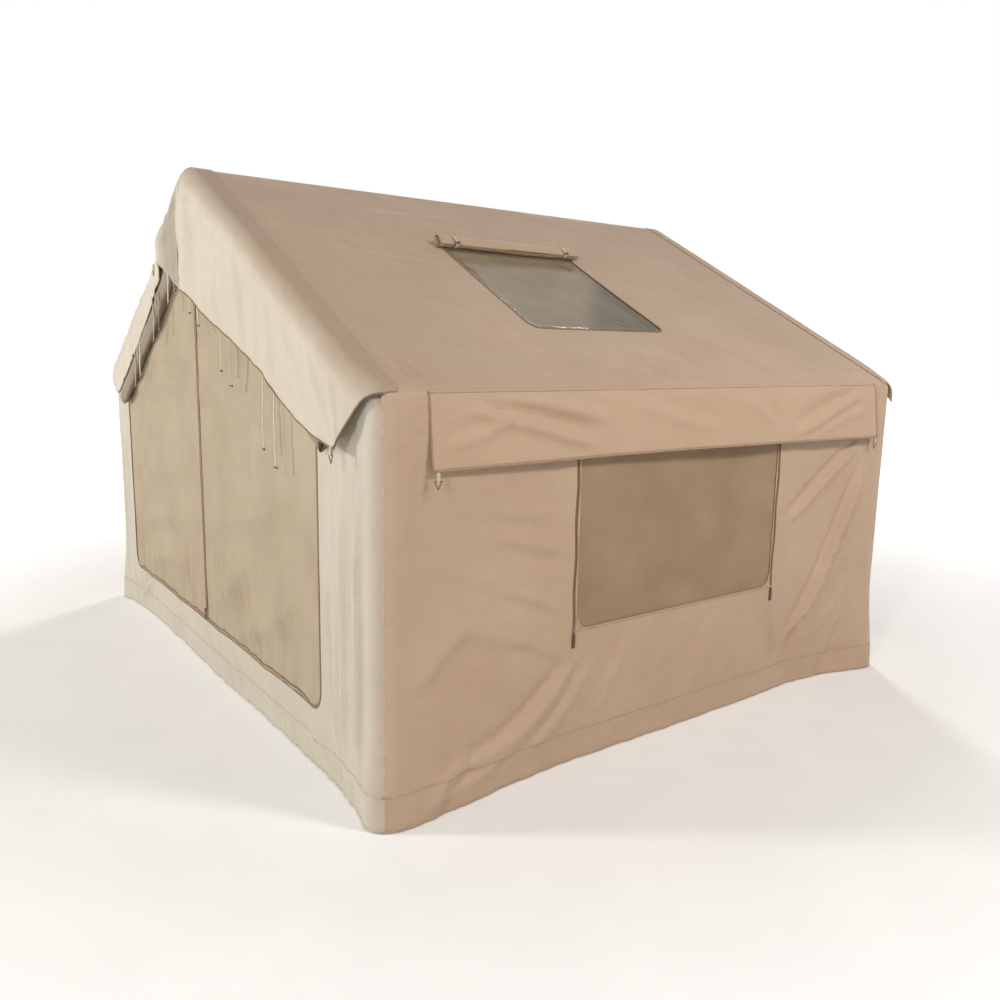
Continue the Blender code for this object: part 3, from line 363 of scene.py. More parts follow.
# ---------------------------------------------------------------- materials
def linear(rgb, times=1.0, plus=0.0):
    """A colour as a picture shows it, 0 to 255, in the shader's own numbers."""
    c = np.minimum(np.array(rgb, float) * times + plus, 255) / 255
    return (*np.where(c <= 0.04045, c / 12.92, ((c + 0.055) / 1.055) ** 2.4), 1.0)


class Nodes:
    """A material's node tree, written one node at a time."""

    def __init__(self, name):
        self.material = bpy.data.materials.new(name)
        self.material.use_nodes = True
        self.tree = self.material.node_tree
        self.shader = self.tree.nodes["Principled BSDF"]
        self.output = self.tree.nodes["Material Output"]

    def add(self, kind, links=(), **values):
        node = self.tree.nodes.new("ShaderNode" + kind)
        for key, value in values.items():
            setattr(node, key, value)
        for key, value in dict(links).items():
            self.join(value, node.inputs[key])
        return node

    def join(self, value, socket):
        if isinstance(value, bpy.types.NodeSocket):
            self.tree.links.new(value, socket)
        else:
            socket.default_value = value

    def math(self, operation, a, b=0.0, c=0.0):
        node = self.add("Math", operation=operation)
        for k, value in enumerate((a, b, c)):
            self.join(value, node.inputs[k])
        return node.outputs[0]

    def mix(self, factor, a, b, blend="MIX"):
        node = self.add("Mix", data_type="RGBA", blend_type=blend)
        self.join(factor, node.inputs[0])
        self.join(a, node.inputs[6])
        self.join(b, node.inputs[7])
        return node.outputs[2]

    def flat(self):
        """The cloth's own place, along and across, in metres."""
        attribute = self.add("Attribute", attribute_name="cloth", attribute_type="GEOMETRY")
        split = self.add("SeparateXYZ", {"Vector": attribute.outputs["Vector"]})
        return attribute.outputs["Vector"], split.outputs[0], split.outputs[1]

    def noise(self, vector, scale, detail=2.0, rough=0.55):
        links = {"Vector": vector, "Scale": scale, "Detail": detail, "Roughness": rough}
        return self.add("TexNoise", links).outputs["Fac"]

    def drawn_noise(self, vector, cells, detail):
        """Noise with so many cells a metre along, across and up."""
        scaled = self.add("VectorMath", {0: vector, 1: cells}, operation="MULTIPLY").outputs[0]
        return self.noise(scaled, 1.0, detail)

    def ramp(self, value, low, high, a=0.0, b=1.0):
        return self.add("MapRange", {"Value": value, "From Min": low, "From Max": high,
                                     "To Min": a, "To Max": b}).outputs["Result"]

    def bump(self, height, distance, strength=1.0, normal=None):
        node = self.add("Bump", {"Height": height, "Distance": distance, "Strength": strength})
        if normal is not None:
            self.join(normal, node.inputs["Normal"])
        return node.outputs["Normal"]

    def weave(self, u, v, pitch):
        """Over and under threads, 0 to 1."""
        a = self.math("SINE", self.math("MULTIPLY", u, 2 * math.pi / pitch))
        b = self.math("SINE", self.math("MULTIPLY", v, 2 * math.pi / pitch))
        return self.math("MULTIPLY_ADD", self.math("MULTIPLY", a, b), 0.5, 0.5)

    def finish(self, colour, normal, roughness, sheen=0.0, metallic=0.0, specular=0.5):
        """Joins the shader's sockets up and hands back the material."""
        values = {"Base Color": colour, "Roughness": roughness, "Metallic": metallic, "Sheen Weight": sheen,
                  "Specular IOR Level": specular}
        for key, value in values.items():
            self.join(value, self.shader.inputs[key])
        if normal is not None:
            self.join(normal, self.shader.inputs["Normal"])
        return self.material


def cloth_material(name, colour, dark, light, pitch=0.0016, crinkle=0.0020, rough=0.62, painted_bend_shade=None, corner=None,
                   painted_shade=None):
    """Coated woven cloth: threads, faint slubs, soft crinkles and a mottled colour.

    painted_bend_shade is painted shade: a tan on the strip that laps on the roof, fading out round the bend; corner =
    (u, colour) the last 50 mm before u, and painted_shade = (low u, high u, colour) paints shade on a part that turns
    away from the light.
    """
    n = Nodes(name)
    place, u, v = n.flat()
    threads = n.weave(u, v, pitch)
    slubs = n.drawn_noise(place, (60.0, 900.0, 1.0), 1.0)
    broad = n.noise(place, 2.3, 3.0)
    middle = n.noise(place, 14.0, 3.0)
    tint = n.mix(n.ramp(broad, 0.32, 0.68), linear(dark), linear(light))
    tint = n.mix(n.ramp(middle, 0.35, 0.65, 0.35, 0.75), tint, linear(colour))
    # Painted shade: the lap on the roof and the bend over the edge are darkened towards tan, fading out across the
    # bend.
    if painted_bend_shade:
        edge = n.math("ADD", v, n.ramp(broad, 0.3, 0.7, -0.015, 0.015))
        tint = n.mix(n.ramp(edge, 0.07, 0.19), linear(painted_bend_shade), tint)
    if corner:
        near = n.math("ADD", n.math("ABSOLUTE", u), n.ramp(middle, 0.3, 0.7, -0.006, 0.006))
        tint = n.mix(n.ramp(near, corner[0] - 0.050, corner[0] + 0.004), tint, linear(corner[1]))
    # Painted shade: the valance left of the apex is darkened, fading out to the left, at the apex and partly towards
    # the top.
    if painted_shade:
        away = n.math("MULTIPLY", n.ramp(u, painted_shade[0], painted_shade[1]), n.ramp(u, 0.0, -0.10))
        away = n.math("MULTIPLY", away, n.ramp(v, 0.06, 0.20, 0.35, 1.0))
        tint = n.mix(away, tint, linear(painted_shade[2]))
    shade = n.mix(n.math("MULTIPLY", threads, 0.10), tint, linear(dark, 0.78))
    shade = n.mix(n.ramp(slubs, 0.55, 0.8, 0.0, 0.12), shade, linear(light))
    fine = n.noise(place, 34.0, 3.0, 0.6)
    long = n.drawn_noise(place, (7.0, 19.0, 1.0), 3.0)
    creases = n.add("TexNoise", {"Vector": place, "Scale": 5.5, "Detail": 3.0, "Distortion": 0.9}).outputs["Fac"]
    crest = n.math("ABSOLUTE", n.math("SUBTRACT", creases, 0.5))
    normal = n.bump(crest, crinkle * 4.5, 0.55)
    normal = n.bump(long, crinkle * 3.2, 0.6, normal)
    normal = n.bump(fine, crinkle, 0.5, normal)
    normal = n.bump(threads, 0.00012, 0.5, normal)
    n.shader.inputs["Sheen Roughness"].default_value = 0.5
    return n.finish(shade, normal, n.ramp(middle, 0.3, 0.7, rough - 0.05, rough + 0.07), sheen=0.15, specular=0.35)


def stitched_material(name, colour, width, row=0.36, stitch=0.0035):
    """A folded tape with a row of lockstitch near each edge."""
    n = Nodes(name)
    place, u, v = n.flat()
    threads = n.weave(u, v, 0.0012)
    mottle = n.noise(place, 40.0, 2.0)
    away = n.math("SUBTRACT", n.math("ABSOLUTE", v), row * width)
    on = n.math("LESS_THAN", n.math("ABSOLUTE", away), 0.0006)
    dash = n.math("LESS_THAN", n.math("FRACT", n.math("DIVIDE", u, stitch)), 0.72)
    marks = n.math("MULTIPLY", on, dash)
    base = n.mix(n.ramp(mottle, 0.3, 0.7), linear(colour, 0.93), linear(colour, 1.05))
    base = n.mix(n.math("MULTIPLY", threads, 0.16), base, linear(colour, 0.7))
    base = n.mix(n.math("MULTIPLY", marks, 0.7), base, linear(colour, 1.22, 12))
    normal = n.bump(mottle, 0.0006, 0.5)
    normal = n.bump(threads, 0.00015, 0.5, normal)
    normal = n.bump(marks, 0.0004, 0.7, normal)
    return n.finish(base, normal, 0.66, sheen=0.1, specular=0.3)


def mesh_material(name, colour, dark, alpha, pitch=0.0022):
    """Fine insect mesh: threads that let some of the light through."""
    n = Nodes(name)
    place, u, v = n.flat()
    threads = n.weave(u, v, pitch)
    base = n.mix(n.ramp(n.noise(place, 3.0, 3.0), 0.3, 0.7), linear(dark), linear(colour))
    base = n.mix(n.math("MULTIPLY", threads, 0.22), base, linear(dark, 0.7))
    normal = n.bump(n.drawn_noise(place, (3.0, 9.0, 1.0), 2.0), 0.004, 0.6)
    n.join(n.ramp(threads, 0.0, 1.0, alpha - 0.08, alpha + 0.08), n.shader.inputs["Alpha"])
    return n.finish(base, n.bump(threads, 0.0003, 0.6, normal), 0.75, sheen=0.1, specular=0.2)


def film_material(name, colour, alpha):
    """Clear PVC film with a faint haze, fine scuffs and painted shade across one corner."""
    n = Nodes(name)
    place, u, v = n.flat()
    haze = n.noise(place, 3.2, 3.0)
    scuffs = n.drawn_noise(place, (30.0, 220.0, 1.0), 3.0)
    base = n.mix(n.ramp(haze, 0.3, 0.7), linear(colour, 0.93), linear(colour))
    # Painted shade: a darker part across one corner of the film.
    painted_shade_slant = n.math("ADD", n.math("MULTIPLY_ADD", u, 1.15, v), n.ramp(haze, 0.3, 0.7, -0.05, 0.05))
    base = n.mix(n.ramp(painted_shade_slant, 1.16, 1.30), base, linear(colour, 0.74))
    n.join(n.ramp(haze, 0.3, 0.7, alpha - 0.03, alpha + 0.03), n.shader.inputs["Alpha"])
    normal = n.bump(haze, 0.006, 0.4, n.bump(scuffs, 0.0003, 0.3))
    return n.finish(base, normal, n.ramp(scuffs, 0.3, 0.75, 0.12, 0.26), specular=0.30)


def hard_material(name, colour, rough, metallic=0.0, grain=600.0):
    """Moulded plastic or coated metal with a fine grain and rubbed edges."""
    n = Nodes(name)
    place = n.add("TexCoord").outputs["Object"]
    blotch = n.noise(place, grain / 9, 2.0)
    base = n.mix(n.ramp(blotch, 0.3, 0.7), linear(colour, 0.85), linear(colour))
    edge = n.ramp(n.add("NewGeometry").outputs["Pointiness"], 0.52, 0.60)
    base = n.mix(n.math("MULTIPLY", edge, 0.6), base, linear(colour, 1.5, 15))
    normal = n.bump(n.noise(place, grain, 3.0), 0.00012, 0.6)
    return n.finish(base, normal, n.ramp(blotch, 0.3, 0.7, rough - 0.06, rough + 0.08), metallic=metallic)


SIDE = cloth_material("cloth_side", (198, 169, 142), (187, 157, 130), (205, 178, 151), crinkle=0.0028,
                      corner=(SIDE_END, (203, 181, 157)))
REAR = cloth_material("cloth_rear", (197, 168, 141), (188, 158, 131), (204, 177, 150))
ROOF = cloth_material("cloth_roof", (194, 167, 141), (183, 156, 131), (203, 177, 151))
# The valance cloth, with painted shade in tan on its lap and its bend over the edge.
VALANCE = cloth_material("cloth_valance", (204, 192, 174), (195, 182, 163), (211, 201, 184), painted_bend_shade=(180, 154, 128),
                         crinkle=0.0026)
# The left valance: a slightly lighter copy of the valance cloth, as a painted highlight on its bright gathered strip,
# with painted shade left of the apex.
VALANCE_LEFT_PAINTED_LIGHT = cloth_material("cloth_valance_left", (208, 198, 181), (199, 187, 169), (214, 205, 189),
                              painted_bend_shade=(180, 154, 128), crinkle=0.0026, painted_shade=(-0.52, -0.34, (160, 146, 126)))
FRONT = cloth_material("cloth_front", (200, 191, 174), (191, 181, 164), (207, 199, 183), crinkle=0.0026,
                       corner=(GABLE_END, (203, 184, 162)))
FLAP_CLOTH = cloth_material("cloth_flap", (200, 170, 142), (193, 162, 134), (205, 176, 149))
# Curtain canvas, its colour darkened as painted shade: the rolls hang in shade under the valances.
CANVAS_PAINTED_SHADE = cloth_material("curtain_cloth", (142, 126, 108), (122, 107, 90), (160, 144, 126), rough=0.7)
BIND = stitched_material("binding_tan", (168, 140, 114), 0.022)
BIND_FRONT = stitched_material("binding_cream", (196, 183, 163), 0.022)
BIND_DARK = stitched_material("binding_brown", (128, 103, 79), 0.010, row=0.30)
SEAM = stitched_material("seam_tan", (187, 159, 132), 0.010, row=0.0)
CORNER_SEAM = stitched_material("seam_corner", (203, 182, 159), 0.007, row=0.0)
WEB = stitched_material("tie_tape", (206, 192, 168), 0.010, row=0.33, stitch=0.003)
LOOP = stitched_material("loop_tape", (214, 196, 168), 0.012, row=0.30, stitch=0.003)
ZIP = stitched_material("zip_tape_brown", (132, 106, 80), 0.014, row=0.34, stitch=0.003)
ZIP_DOOR = stitched_material("zip_tape_door", (156, 132, 104), 0.013, row=0.34, stitch=0.003)
DOOR_MESH = mesh_material("door_net", (198, 181, 155), (183, 165, 139), 0.90)
WINDOW_MESH = mesh_material("window_net", (196, 167, 135), (176, 147, 115), 0.80)
FILM = film_material("window_film", (196, 178, 148), 0.60)
GROUND = cloth_material("ground_pvc", (120, 110, 98), (108, 99, 88), (132, 121, 108), pitch=0.003, rough=0.5)
BEAM = cloth_material("beam_sleeve", (150, 132, 112), (140, 122, 102), (160, 142, 122), rough=0.5, crinkle=0.0008)
METAL = hard_material("dark_metal", (74, 62, 52), 0.34, metallic=0.8, grain=900.0)
TOGGLE = hard_material("toggle_brown", (92, 70, 52), 0.42, grain=700.0)
PLASTIC = hard_material("valve_plastic", (58, 58, 60), 0.45, grain=1200.0)

# ---------------------------------------------------------------- walls and skirt
FOOT = curve_through([(-1.50, 0.030), (-1.36, 0.040), (-1.15, 0.018), (-0.98, 0.0), (-0.64, -0.036), (-0.12, -0.040),
                      (0.22, -0.045), (0.53, -0.052), (0.82, -0.072), (1.05, -0.058), (1.22, -0.022), (1.40, 0.030),
                      (1.50, 0.034)])
GABLE_FOOT = curve_through([(-1.77, 0.030), (-1.62, 0.004), (-1.3, -0.024), (-0.7, -0.034), (0.0, -0.026),
                            (0.6, -0.036), (1.3, -0.026), (1.62, 0.004), (1.77, 0.032)])

SIDE_FOLDS = {
    1: [(1.27, 1.24, 1.00, 1.07, 0.65, 0.83, 0.020, 0.017),
        (1.33, 1.18, 1.16, 0.84, 0.96, 0.50, 0.74, 0.22, 0.021, 0.022),
        (1.30, 0.62, 1.16, 0.42, 0.98, 0.20, 0.030, 0.006),
        (-0.56, 0.50, -0.92, 0.20, -1.30, 0.12, 0.024, 0.012),
        (-0.60, 0.42, -0.98, 0.13, -1.36, 0.05, 0.030, 0.009),
        (-0.50, 0.47, -0.66, 0.24, -0.86, 0.08, 0.028, 0.008),
        (-0.30, 0.52, -0.42, 0.30, -0.50, 0.12, 0.030, 0.007),
        (-0.05, 0.53, -0.12, 0.34, -0.16, 0.14, 0.034, 0.006),
        (0.22, 0.53, 0.16, 0.36, 0.12, 0.16, 0.030, 0.007),
        (0.45, 0.53, 0.42, 0.36, 0.40, 0.14, 0.034, 0.007),
        (0.62, 0.50, 0.66, 0.34, 0.72, 0.16, 0.028, 0.009),
        (-1.20, 1.10, -0.95, 1.07, -0.70, 1.05, 0.022, 0.003),
        (-1.05, 0.99, -0.88, 0.95, -0.69, 0.90, 0.022, 0.005),
        (-1.34, 0.93, -1.10, 0.85, -0.80, 0.79, 0.034, 0.003),
        (-1.00, 0.80, -0.85, 0.74, -0.69, 0.66, 0.022, 0.006),
        (-1.26, 0.70, -1.02, 0.62, -0.76, 0.56, 0.034, 0.004),
        (-0.95, 0.60, -0.80, 0.53, -0.68, 0.47, 0.022, 0.005),
        (-1.38, 0.46, -1.24, 0.60, -1.10, 0.70, 0.040, 0.008),
        (-1.33, 0.02, -1.22, 0.13, -1.10, 0.20, 0.030, 0.011),
        (0.80, 0.02, 0.82, 0.16, 0.84, 0.34, 0.032, -0.012),
        (1.08, 0.02, 1.12, 0.20, 1.20, 0.40, 0.034, 0.010)],
    -1: [(-1.30, 1.24, -0.98, 1.02, -0.66, 0.80, 0.032, 0.014),
         (-1.34, 1.10, -1.10, 0.70, -0.74, 0.26, 0.034, 0.016),
         (1.30, 1.20, 1.06, 0.76, 0.66, 0.40, 0.032, 0.014),
         (0.62, 0.50, 0.95, 0.24, 1.30, 0.10, 0.036, 0.014),
         (0.70, 1.05, 1.0, 1.0, 1.3, 1.02, 0.026, 0.006),
         (0.70, 0.88, 1.0, 0.84, 1.3, 0.88, 0.028, 0.007),
         (-0.3, 0.52, -0.36, 0.3, -0.44, 0.12, 0.032, 0.008),
         (0.1, 0.52, 0.12, 0.32, 0.06, 0.12, 0.032, 0.007),
         (0.4, 0.52, 0.5, 0.3, 0.56, 0.12, 0.032, 0.008)]}


def foot_flare(v):
    """How much of its foot's push a side wall has at height v."""
    return ease((0.50 - v) / 0.50) ** 1.15


def side_push(u, v, side):
    """How far a side wall stands out from its plane, over u along it and v up it."""
    y = np.clip(u, -HALF_Y, HALF_Y)
    near_zip = sum(band(np.abs(y - z), 0, 0.018, 0.07) for z in ZIP_Y.values()) * band(v, 0.47, 1.36, 0.06)
    near_window = band(y, -0.60, 0.56, 0.10) * band(v, 0.60, 1.33, 0.10)
    calm = 1 - np.maximum(0.98 * np.clip(near_zip, 0, 1), 0.85 * near_window)
    edge = ease((SIDE_END - np.abs(u)) / 0.10) * ease((WALL_TOP - v) / 0.10)
    foot = np.interp(side * y, *FOOT.T) * foot_flare(v)
    broad = 0.008 * cloth_noise(u, v, 0.45, 11 + side) + 0.004 * cloth_noise(u, v, 0.17, 21 + side, 0.5, 1.8)
    fine = 0.0030 * rucks(u, v, 0.055, 31 + side, -0.6) + 0.0018 * rucks(u, v, 0.032, 41 + side, 0.9, 4.0)
    slack = -0.007 * (1 - np.square(y / 1.44)) * band(v, 0.4, 1.2, 0.4)
    drape = 0.0035 * soft_noise(u, v, 0.10, 0.9, 51 + side) * ease((0.50 - v) / 0.25)
    ripple = 0.0036 * soft_noise(u, v, 0.024, 0.14, 55 + side) * ease((0.30 - v) / 0.20)
    column = 0.006 * band(np.abs(u), 1.40, 1.44, 0.06)
    creases = (1.9 if side > 0 else 1.2) * folds(u, v, SIDE_FOLDS[side])
    return foot + edge * (calm * (creases + broad + fine + slack + drape + ripple) + column)


def side_place(u, v, side):
    """A side wall's place: u along y and round the columns, v up and over the eave beam."""
    turn = np.clip((np.abs(u) - COL_Y) / COL_R, 0, None) * np.sign(u)
    nx, ny = np.cos(turn), np.sin(turn)
    over = np.clip((v - EAVE_BEAM_Z) / EAVE_R, 0, None)
    out = side_push(u, v, side) - EAVE_R * (1 - np.cos(over))
    z = np.where(v > EAVE_BEAM_Z, EAVE_BEAM_Z + EAVE_R * np.sin(over), v)
    x = COL_X + COL_R * nx + nx * out
    y = np.clip(u, -COL_Y, COL_Y) + COL_R * ny + ny * out
    return np.stack([side * x, y, z], -1)


GABLE_FOLDS = {
    -1: [(1.47, 1.24, 1.50, 0.70, 1.49, 0.10, 0.020, 0.007),
         (1.60, 1.18, 1.62, 0.70, 1.63, 0.08, 0.022, 0.008),
         (1.36, 0.90, 1.38, 0.50, 1.42, 0.14, 0.018, 0.006),
         (-1.52, 1.20, -1.54, 0.70, -1.52, 0.10, 0.024, 0.004),
         (-1.62, 1.20, -1.63, 0.70, -1.64, 0.10, 0.024, 0.004),
         (0.95, 0.24, 1.15, 0.16, 1.42, 0.05, 0.020, 0.004),
         (-1.1, 0.24, -1.25, 0.15, -1.4, 0.06, 0.020, 0.008)],
    1: [(-1.4, 1.3, -0.9, 0.9, -0.2, 0.7, 0.05, 0.013),
        (1.4, 1.3, 0.9, 1.0, 0.3, 0.9, 0.05, 0.012),
        (-1.35, 0.2, -0.9, 0.5, -0.3, 0.7, 0.045, 0.012),
        (1.35, 0.15, 1.0, 0.5, 0.5, 0.75, 0.045, 0.013),
        (0.0, 2.2, -0.05, 1.6, 0.02, 1.1, 0.06, 0.010),
        (0.35, 2.0, 0.4, 1.5, 0.3, 1.0, 0.05, 0.008),
        (-0.45, 1.95, -0.5, 1.5, -0.4, 1.1, 0.05, 0.009)]}


def gable_push(u, v, side):
    """How far a gable wall stands out from its plane. Only the front one has the door and its columns' pleats."""
    front = side < 0
    edge = ease((GABLE_END - np.abs(u)) / 0.10) * ease((rake(u) - COL_R / COS - v) / 0.08)
    foot = np.interp(u, *GABLE_FOOT.T) * ease((0.34 - v) / 0.34) ** 1.1
    corner = ease((np.abs(u) - 1.60) / (GABLE_END - 1.60))
    foot = foot + corner * (0.033 * foot_flare(v) - foot)
    broad = 0.005 * cloth_noise(u, v, 0.40, 61 + side) + 0.002 * cloth_noise(u, v, 0.15, 71 + side, 1.2, 1.8)
    fine = 0.0014 * rucks(u, v, 0.05, 81 + side, 1.1) + 0.0010 * rucks(u, v, 0.03, 91 + side, 0.4, 4.0)
    calm = 1 - 0.8 * band(u, DOOR_LEFT, DOOR_RIGHT, 0.04) * band(v, 0.255, 3.0, 0.02) * front
    pleats = 0.0050 * soft_noise(u, v, 0.020, 0.60, 95) * front * band(np.abs(u), 1.36, 1.66, 0.05)
    puckers = 0.0040 * soft_noise(u + 0.35 * v, v, 0.022, 0.16, 96) + 0.0030 * soft_noise(u, v, 0.05, 0.20, 97)
    creases = (3.2 if front else 1.1) * folds(u, v, GABLE_FOLDS[side])
    soft = calm * (creases + broad + fine + pleats) + puckers * ease((0.30 - v) / 0.20)
    return foot + edge * np.maximum(soft, -0.003 - 0.05 * (1 - band(np.abs(u), 1.58, 1.80, 0.05)))


def gable_place(u, v, side):
    """A gable wall's place: u along x and round the columns, v up and over the arch beam."""
    turn = np.clip((np.abs(u) - COL_X) / COL_R, 0, None) * np.sign(u)
    nx, ny = np.sin(turn), np.cos(turn)
    x = np.clip(u, -COL_X, COL_X) + COL_R * nx
    top = rake(x) - COL_R / COS
    over = np.clip((v - top) * COS / COL_R, 0, math.pi / 2)
    out = gable_push(u, v, side) - COL_R * (1 - np.cos(over))
    rise = COL_R * np.sin(over)
    far = x + lean(x) * rise
    z = np.where(v > top, rake(far) - (COL_R - rise) / COS, v)
    return np.stack([far + nx * out, side * (COL_Y + COL_R * ny + ny * out), z], -1)


def rounded(low_u, high_u, low_v, high_v, radius, top_radius=0.0):
    """A rectangle's ring with rounded corners, more or less at the top."""
    ring = []
    for cu, cv, start, r in ((high_u, low_v, -90, radius), (high_u, high_v, 0, top_radius),
                             (low_u, high_v, 90, top_radius), (low_u, low_v, 180, radius)):
        su, sv = (-1 if cu == high_u else 1), (1 if cv == low_v else -1)
        if r == 0:
            ring.append((cu, cv))
            continue
        for k in range(9):
            a = math.radians(start + 90 * k / 8)
            ring.append((cu + su * r + r * math.cos(a), cv + sv * r + r * math.sin(a)))
    return ring


def area_of(outline, holes=()):
    """The area inside an outline, less its holes."""
    def one(ring):
        r = np.array(ring, float)
        s = np.roll(r, -1, axis=0)
        return abs((r[:, 0] * s[:, 1] - s[:, 0] * r[:, 1]).sum()) / 2
    return one(outline) - sum(one(h) for h in holes)


side_outline = box_ring(-SIDE_END, SIDE_END, SKIRT_Z, WALL_TOP)
window_hole = rounded(*WINDOW, WINDOW_ROUND)
for side, word in SIDES:
    part = spread(side_place, side_outline, side, holes=[window_hole])
    piece("side_wall_" + word, [part], SIDE, "wall_" + word)

us = np.concatenate([[-GABLE_END], np.linspace(-COL_X, COL_X, 25), [GABLE_END]])
xs = np.where(np.abs(us) > COL_X, np.sign(us) * (COL_X + COL_R * math.sin(GABLE_TURN)), us)
tops = rake(xs) + 0.52 * COL_R / COS
gable_outline = [(-GABLE_END, SKIRT_Z), (GABLE_END, SKIRT_Z)] + list(zip(us, tops))[::-1]


def door_foot(x, toward, lift=0.0):
    """The rounded foot of the door at x, from the jamb to the sill."""
    r = DOOR_ROUND
    turn = np.radians(np.linspace(180, 270, 8))
    return [(x + toward * (r + r * math.cos(a)), SILL_Z + lift + r + r * math.sin(a)) for a in turn]


door_hole = door_foot(DOOR_LEFT, 1) + door_foot(DOOR_RIGHT, -1)[::-1] \
    + [(x, rake(x) - HEAD_DROP) for x in (DOOR_RIGHT, 0.0, DOOR_LEFT)]
for side, word, holes, paint, slot in ((-1, "front", [door_hole], FRONT, COVER_FRONT), (1, "rear", [], REAR, COVER)):
    part = spread(gable_place, gable_outline, side, holes=holes)
    piece("gable_wall_" + word, [part], paint, "wall_" + word)

skirt_parts = [spread(place, box_ring(-end, end, FOOT_Z, SKIRT_Z), side, 0.0125)
               for side in (1, -1) for end, place in ((SIDE_END, side_place), (GABLE_END, gable_place))]
skirt = piece("skirt_cloth", skirt_parts[:3], REAR, "skirt_band")
skirt_front = piece("skirt_cloth_front", skirt_parts[3:], FRONT, "skirt_band")


# ---------------------------------------------------------------- roof
ROOF_TURN = BEND_X / COS
ROOF_END = ROOF_TURN + BEND_MIDDLE * math.radians(30)
ROOF_FOLDS = {
    1: [(-1.00, 1.30, -0.80, 1.40, -0.56, 1.52, 0.026, 0.011),
        (-1.28, 0.77, -1.0, 0.84, -0.68, 0.90, 0.030, 0.007),
        (-0.88, 1.60, -0.70, 1.66, -0.50, 1.73, 0.020, 0.006),
        (-1.40, 1.66, -1.36, 1.80, -1.37, 1.93, 0.018, 0.008),
        (-1.30, 1.74, -1.27, 1.84, -1.28, 1.93, 0.016, 0.006),
        (-0.16, 1.78, -0.13, 1.84, -0.17, 1.91, 0.010, 0.006),
        (-0.30, 1.80, -0.27, 1.86, -0.28, 1.92, 0.010, 0.004),
        (0.05, 1.54, 0.13, 1.70, 0.16, 1.88, 0.014, 0.005),
        (0.56, 1.79, 0.60, 1.84, 0.66, 1.89, 0.010, 0.006),
        (0.90, 1.80, 0.95, 1.86, 1.00, 1.92, 0.012, 0.004),
        (1.14, 1.78, 1.20, 1.84, 1.27, 1.90, 0.012, 0.006),
        (0.50, 1.45, 0.76, 1.56, 1.04, 1.66, 0.026, 0.006),
        (0.84, 0.22, 1.0, 0.24, 1.16, 0.27, 0.030, 0.005),
        (-0.86, 0.33, -0.5, 0.31, -0.14, 0.30, 0.034, 0.005),
        (0.30, 1.50, 0.42, 1.62, 0.50, 1.80, 0.018, 0.005)],
    -1: [(-1.0, 1.3, -0.6, 1.42, -0.2, 1.62, 0.034, 0.010),
         (1.2, 0.7, 0.7, 0.8, 0.1, 0.8, 0.04, 0.009),
         (-0.2, 0.4, 0.2, 1.0, 0.3, 1.6, 0.05, 0.008),
         (0.8, 1.5, 1.0, 1.7, 1.1, 1.92, 0.02, 0.008)]}


def roof_push(u, v, side):
    """How far the roof cloth stands off its plane, over u along y and v down the slope."""
    pane = band(u, SKYLIGHT[0], SKYLIGHT[1], 0.08) * band(v, SKYLIGHT[2] - 0.1, SKYLIGHT[3], 0.08) * (side > 0)
    edge = ease((COL_Y - np.abs(u)) / 0.12) * ease((ROOF_TURN - v + 0.03) / 0.10)
    sag = -0.010 * np.sin(math.pi * np.clip(v / ROOF_TURN, 0, 1)) * (1 - np.square(u / COL_Y))
    broad = 0.006 * cloth_noise(u, v, 0.55, 111 + side) + 0.0022 * cloth_noise(u, v, 0.18, 121 + side, 0.3, 2.0)
    fine = 0.0030 * rucks(u, v, 0.06, 131 + side, 0.25) + 0.0018 * rucks(u, v, 0.03, 141 + side, 1.2, 4.0)
    low = 0.0040 * rucks(u, v, 0.035, 151 + side, 1.15, 3.0) * band(v, 1.72, 2.0, 0.15)
    ridge = ease(v / 0.10)
    strength = 0.9 + 1.5 * ease((v - 1.35) / 0.3) if side > 0 else 0.7
    creases = strength * folds(u, v, ROOF_FOLDS[side])
    return edge * (sag + ridge * (1 - 0.7 * pane) * (creases + broad + fine + low))


def roof_place(u, v, side, lift=0.0):
    """The roof's place: u along y, v down the slope and round the eave beam."""
    x = np.minimum(v, ROOF_TURN) * COS
    z = rake(x)
    turn = PITCH + np.clip(v - ROOF_TURN, 0, None) / BEND_MIDDLE
    nx, nz = np.sin(turn), np.cos(turn)
    past = v > ROOF_TURN
    reach = BEND_OUTER - 0.001 * np.clip((v - ROOF_TURN) / (ROOF_END - ROOF_TURN), 0, 1)
    x = np.where(past, EAVE_X + reach * nx, x)
    z = np.where(past, EAVE_BEAM_Z + reach * nz, z)
    out = roof_push(u, v, side) + lift
    return np.stack([side * (x + nx * out), u + 0 * x, z + nz * out], -1)


skylight_hole = rounded(*SKYLIGHT, 0.0, SKYLIGHT_ROUND)
roof_outline = box_ring(-COL_Y, COL_Y, 0.0, ROOF_END)
roof_holes = {"right": [skylight_hole], "left": []}
for side, word in SIDES:
    part = spread(roof_place, roof_outline, side, holes=roof_holes[word])
    piece("roof_cloth_" + word, [part], ROOF, "roof_" + word)

# ---------------------------------------------------------------- floor sheet
foot_runs = ((side_place, 1, -SIDE_END, 40), (gable_place, 1, GABLE_END, 90),
             (side_place, -1, SIDE_END, 40), (gable_place, -1, -GABLE_END, 40))
foot_ring = [place(np.linspace(start, -start, count), np.full(count, 0.005), side)[:, :2]
             for place, side, start, count in foot_runs]
floor_ring = np.vstack(foot_ring) * (0.997, 0.9965)
points, faces = flat_grid(floor_ring, 0.03)
height = 0.0035 + 0.0035 * np.clip(cloth_noise(*points.T, 0.35, 171), 0, 1) + 0.003 * rucks(*points.T, 0.12, 172, 0.7)
ground = piece("ground_cloth", [(np.column_stack([points, height]), faces, points)], GROUND,
               "groundsheet")


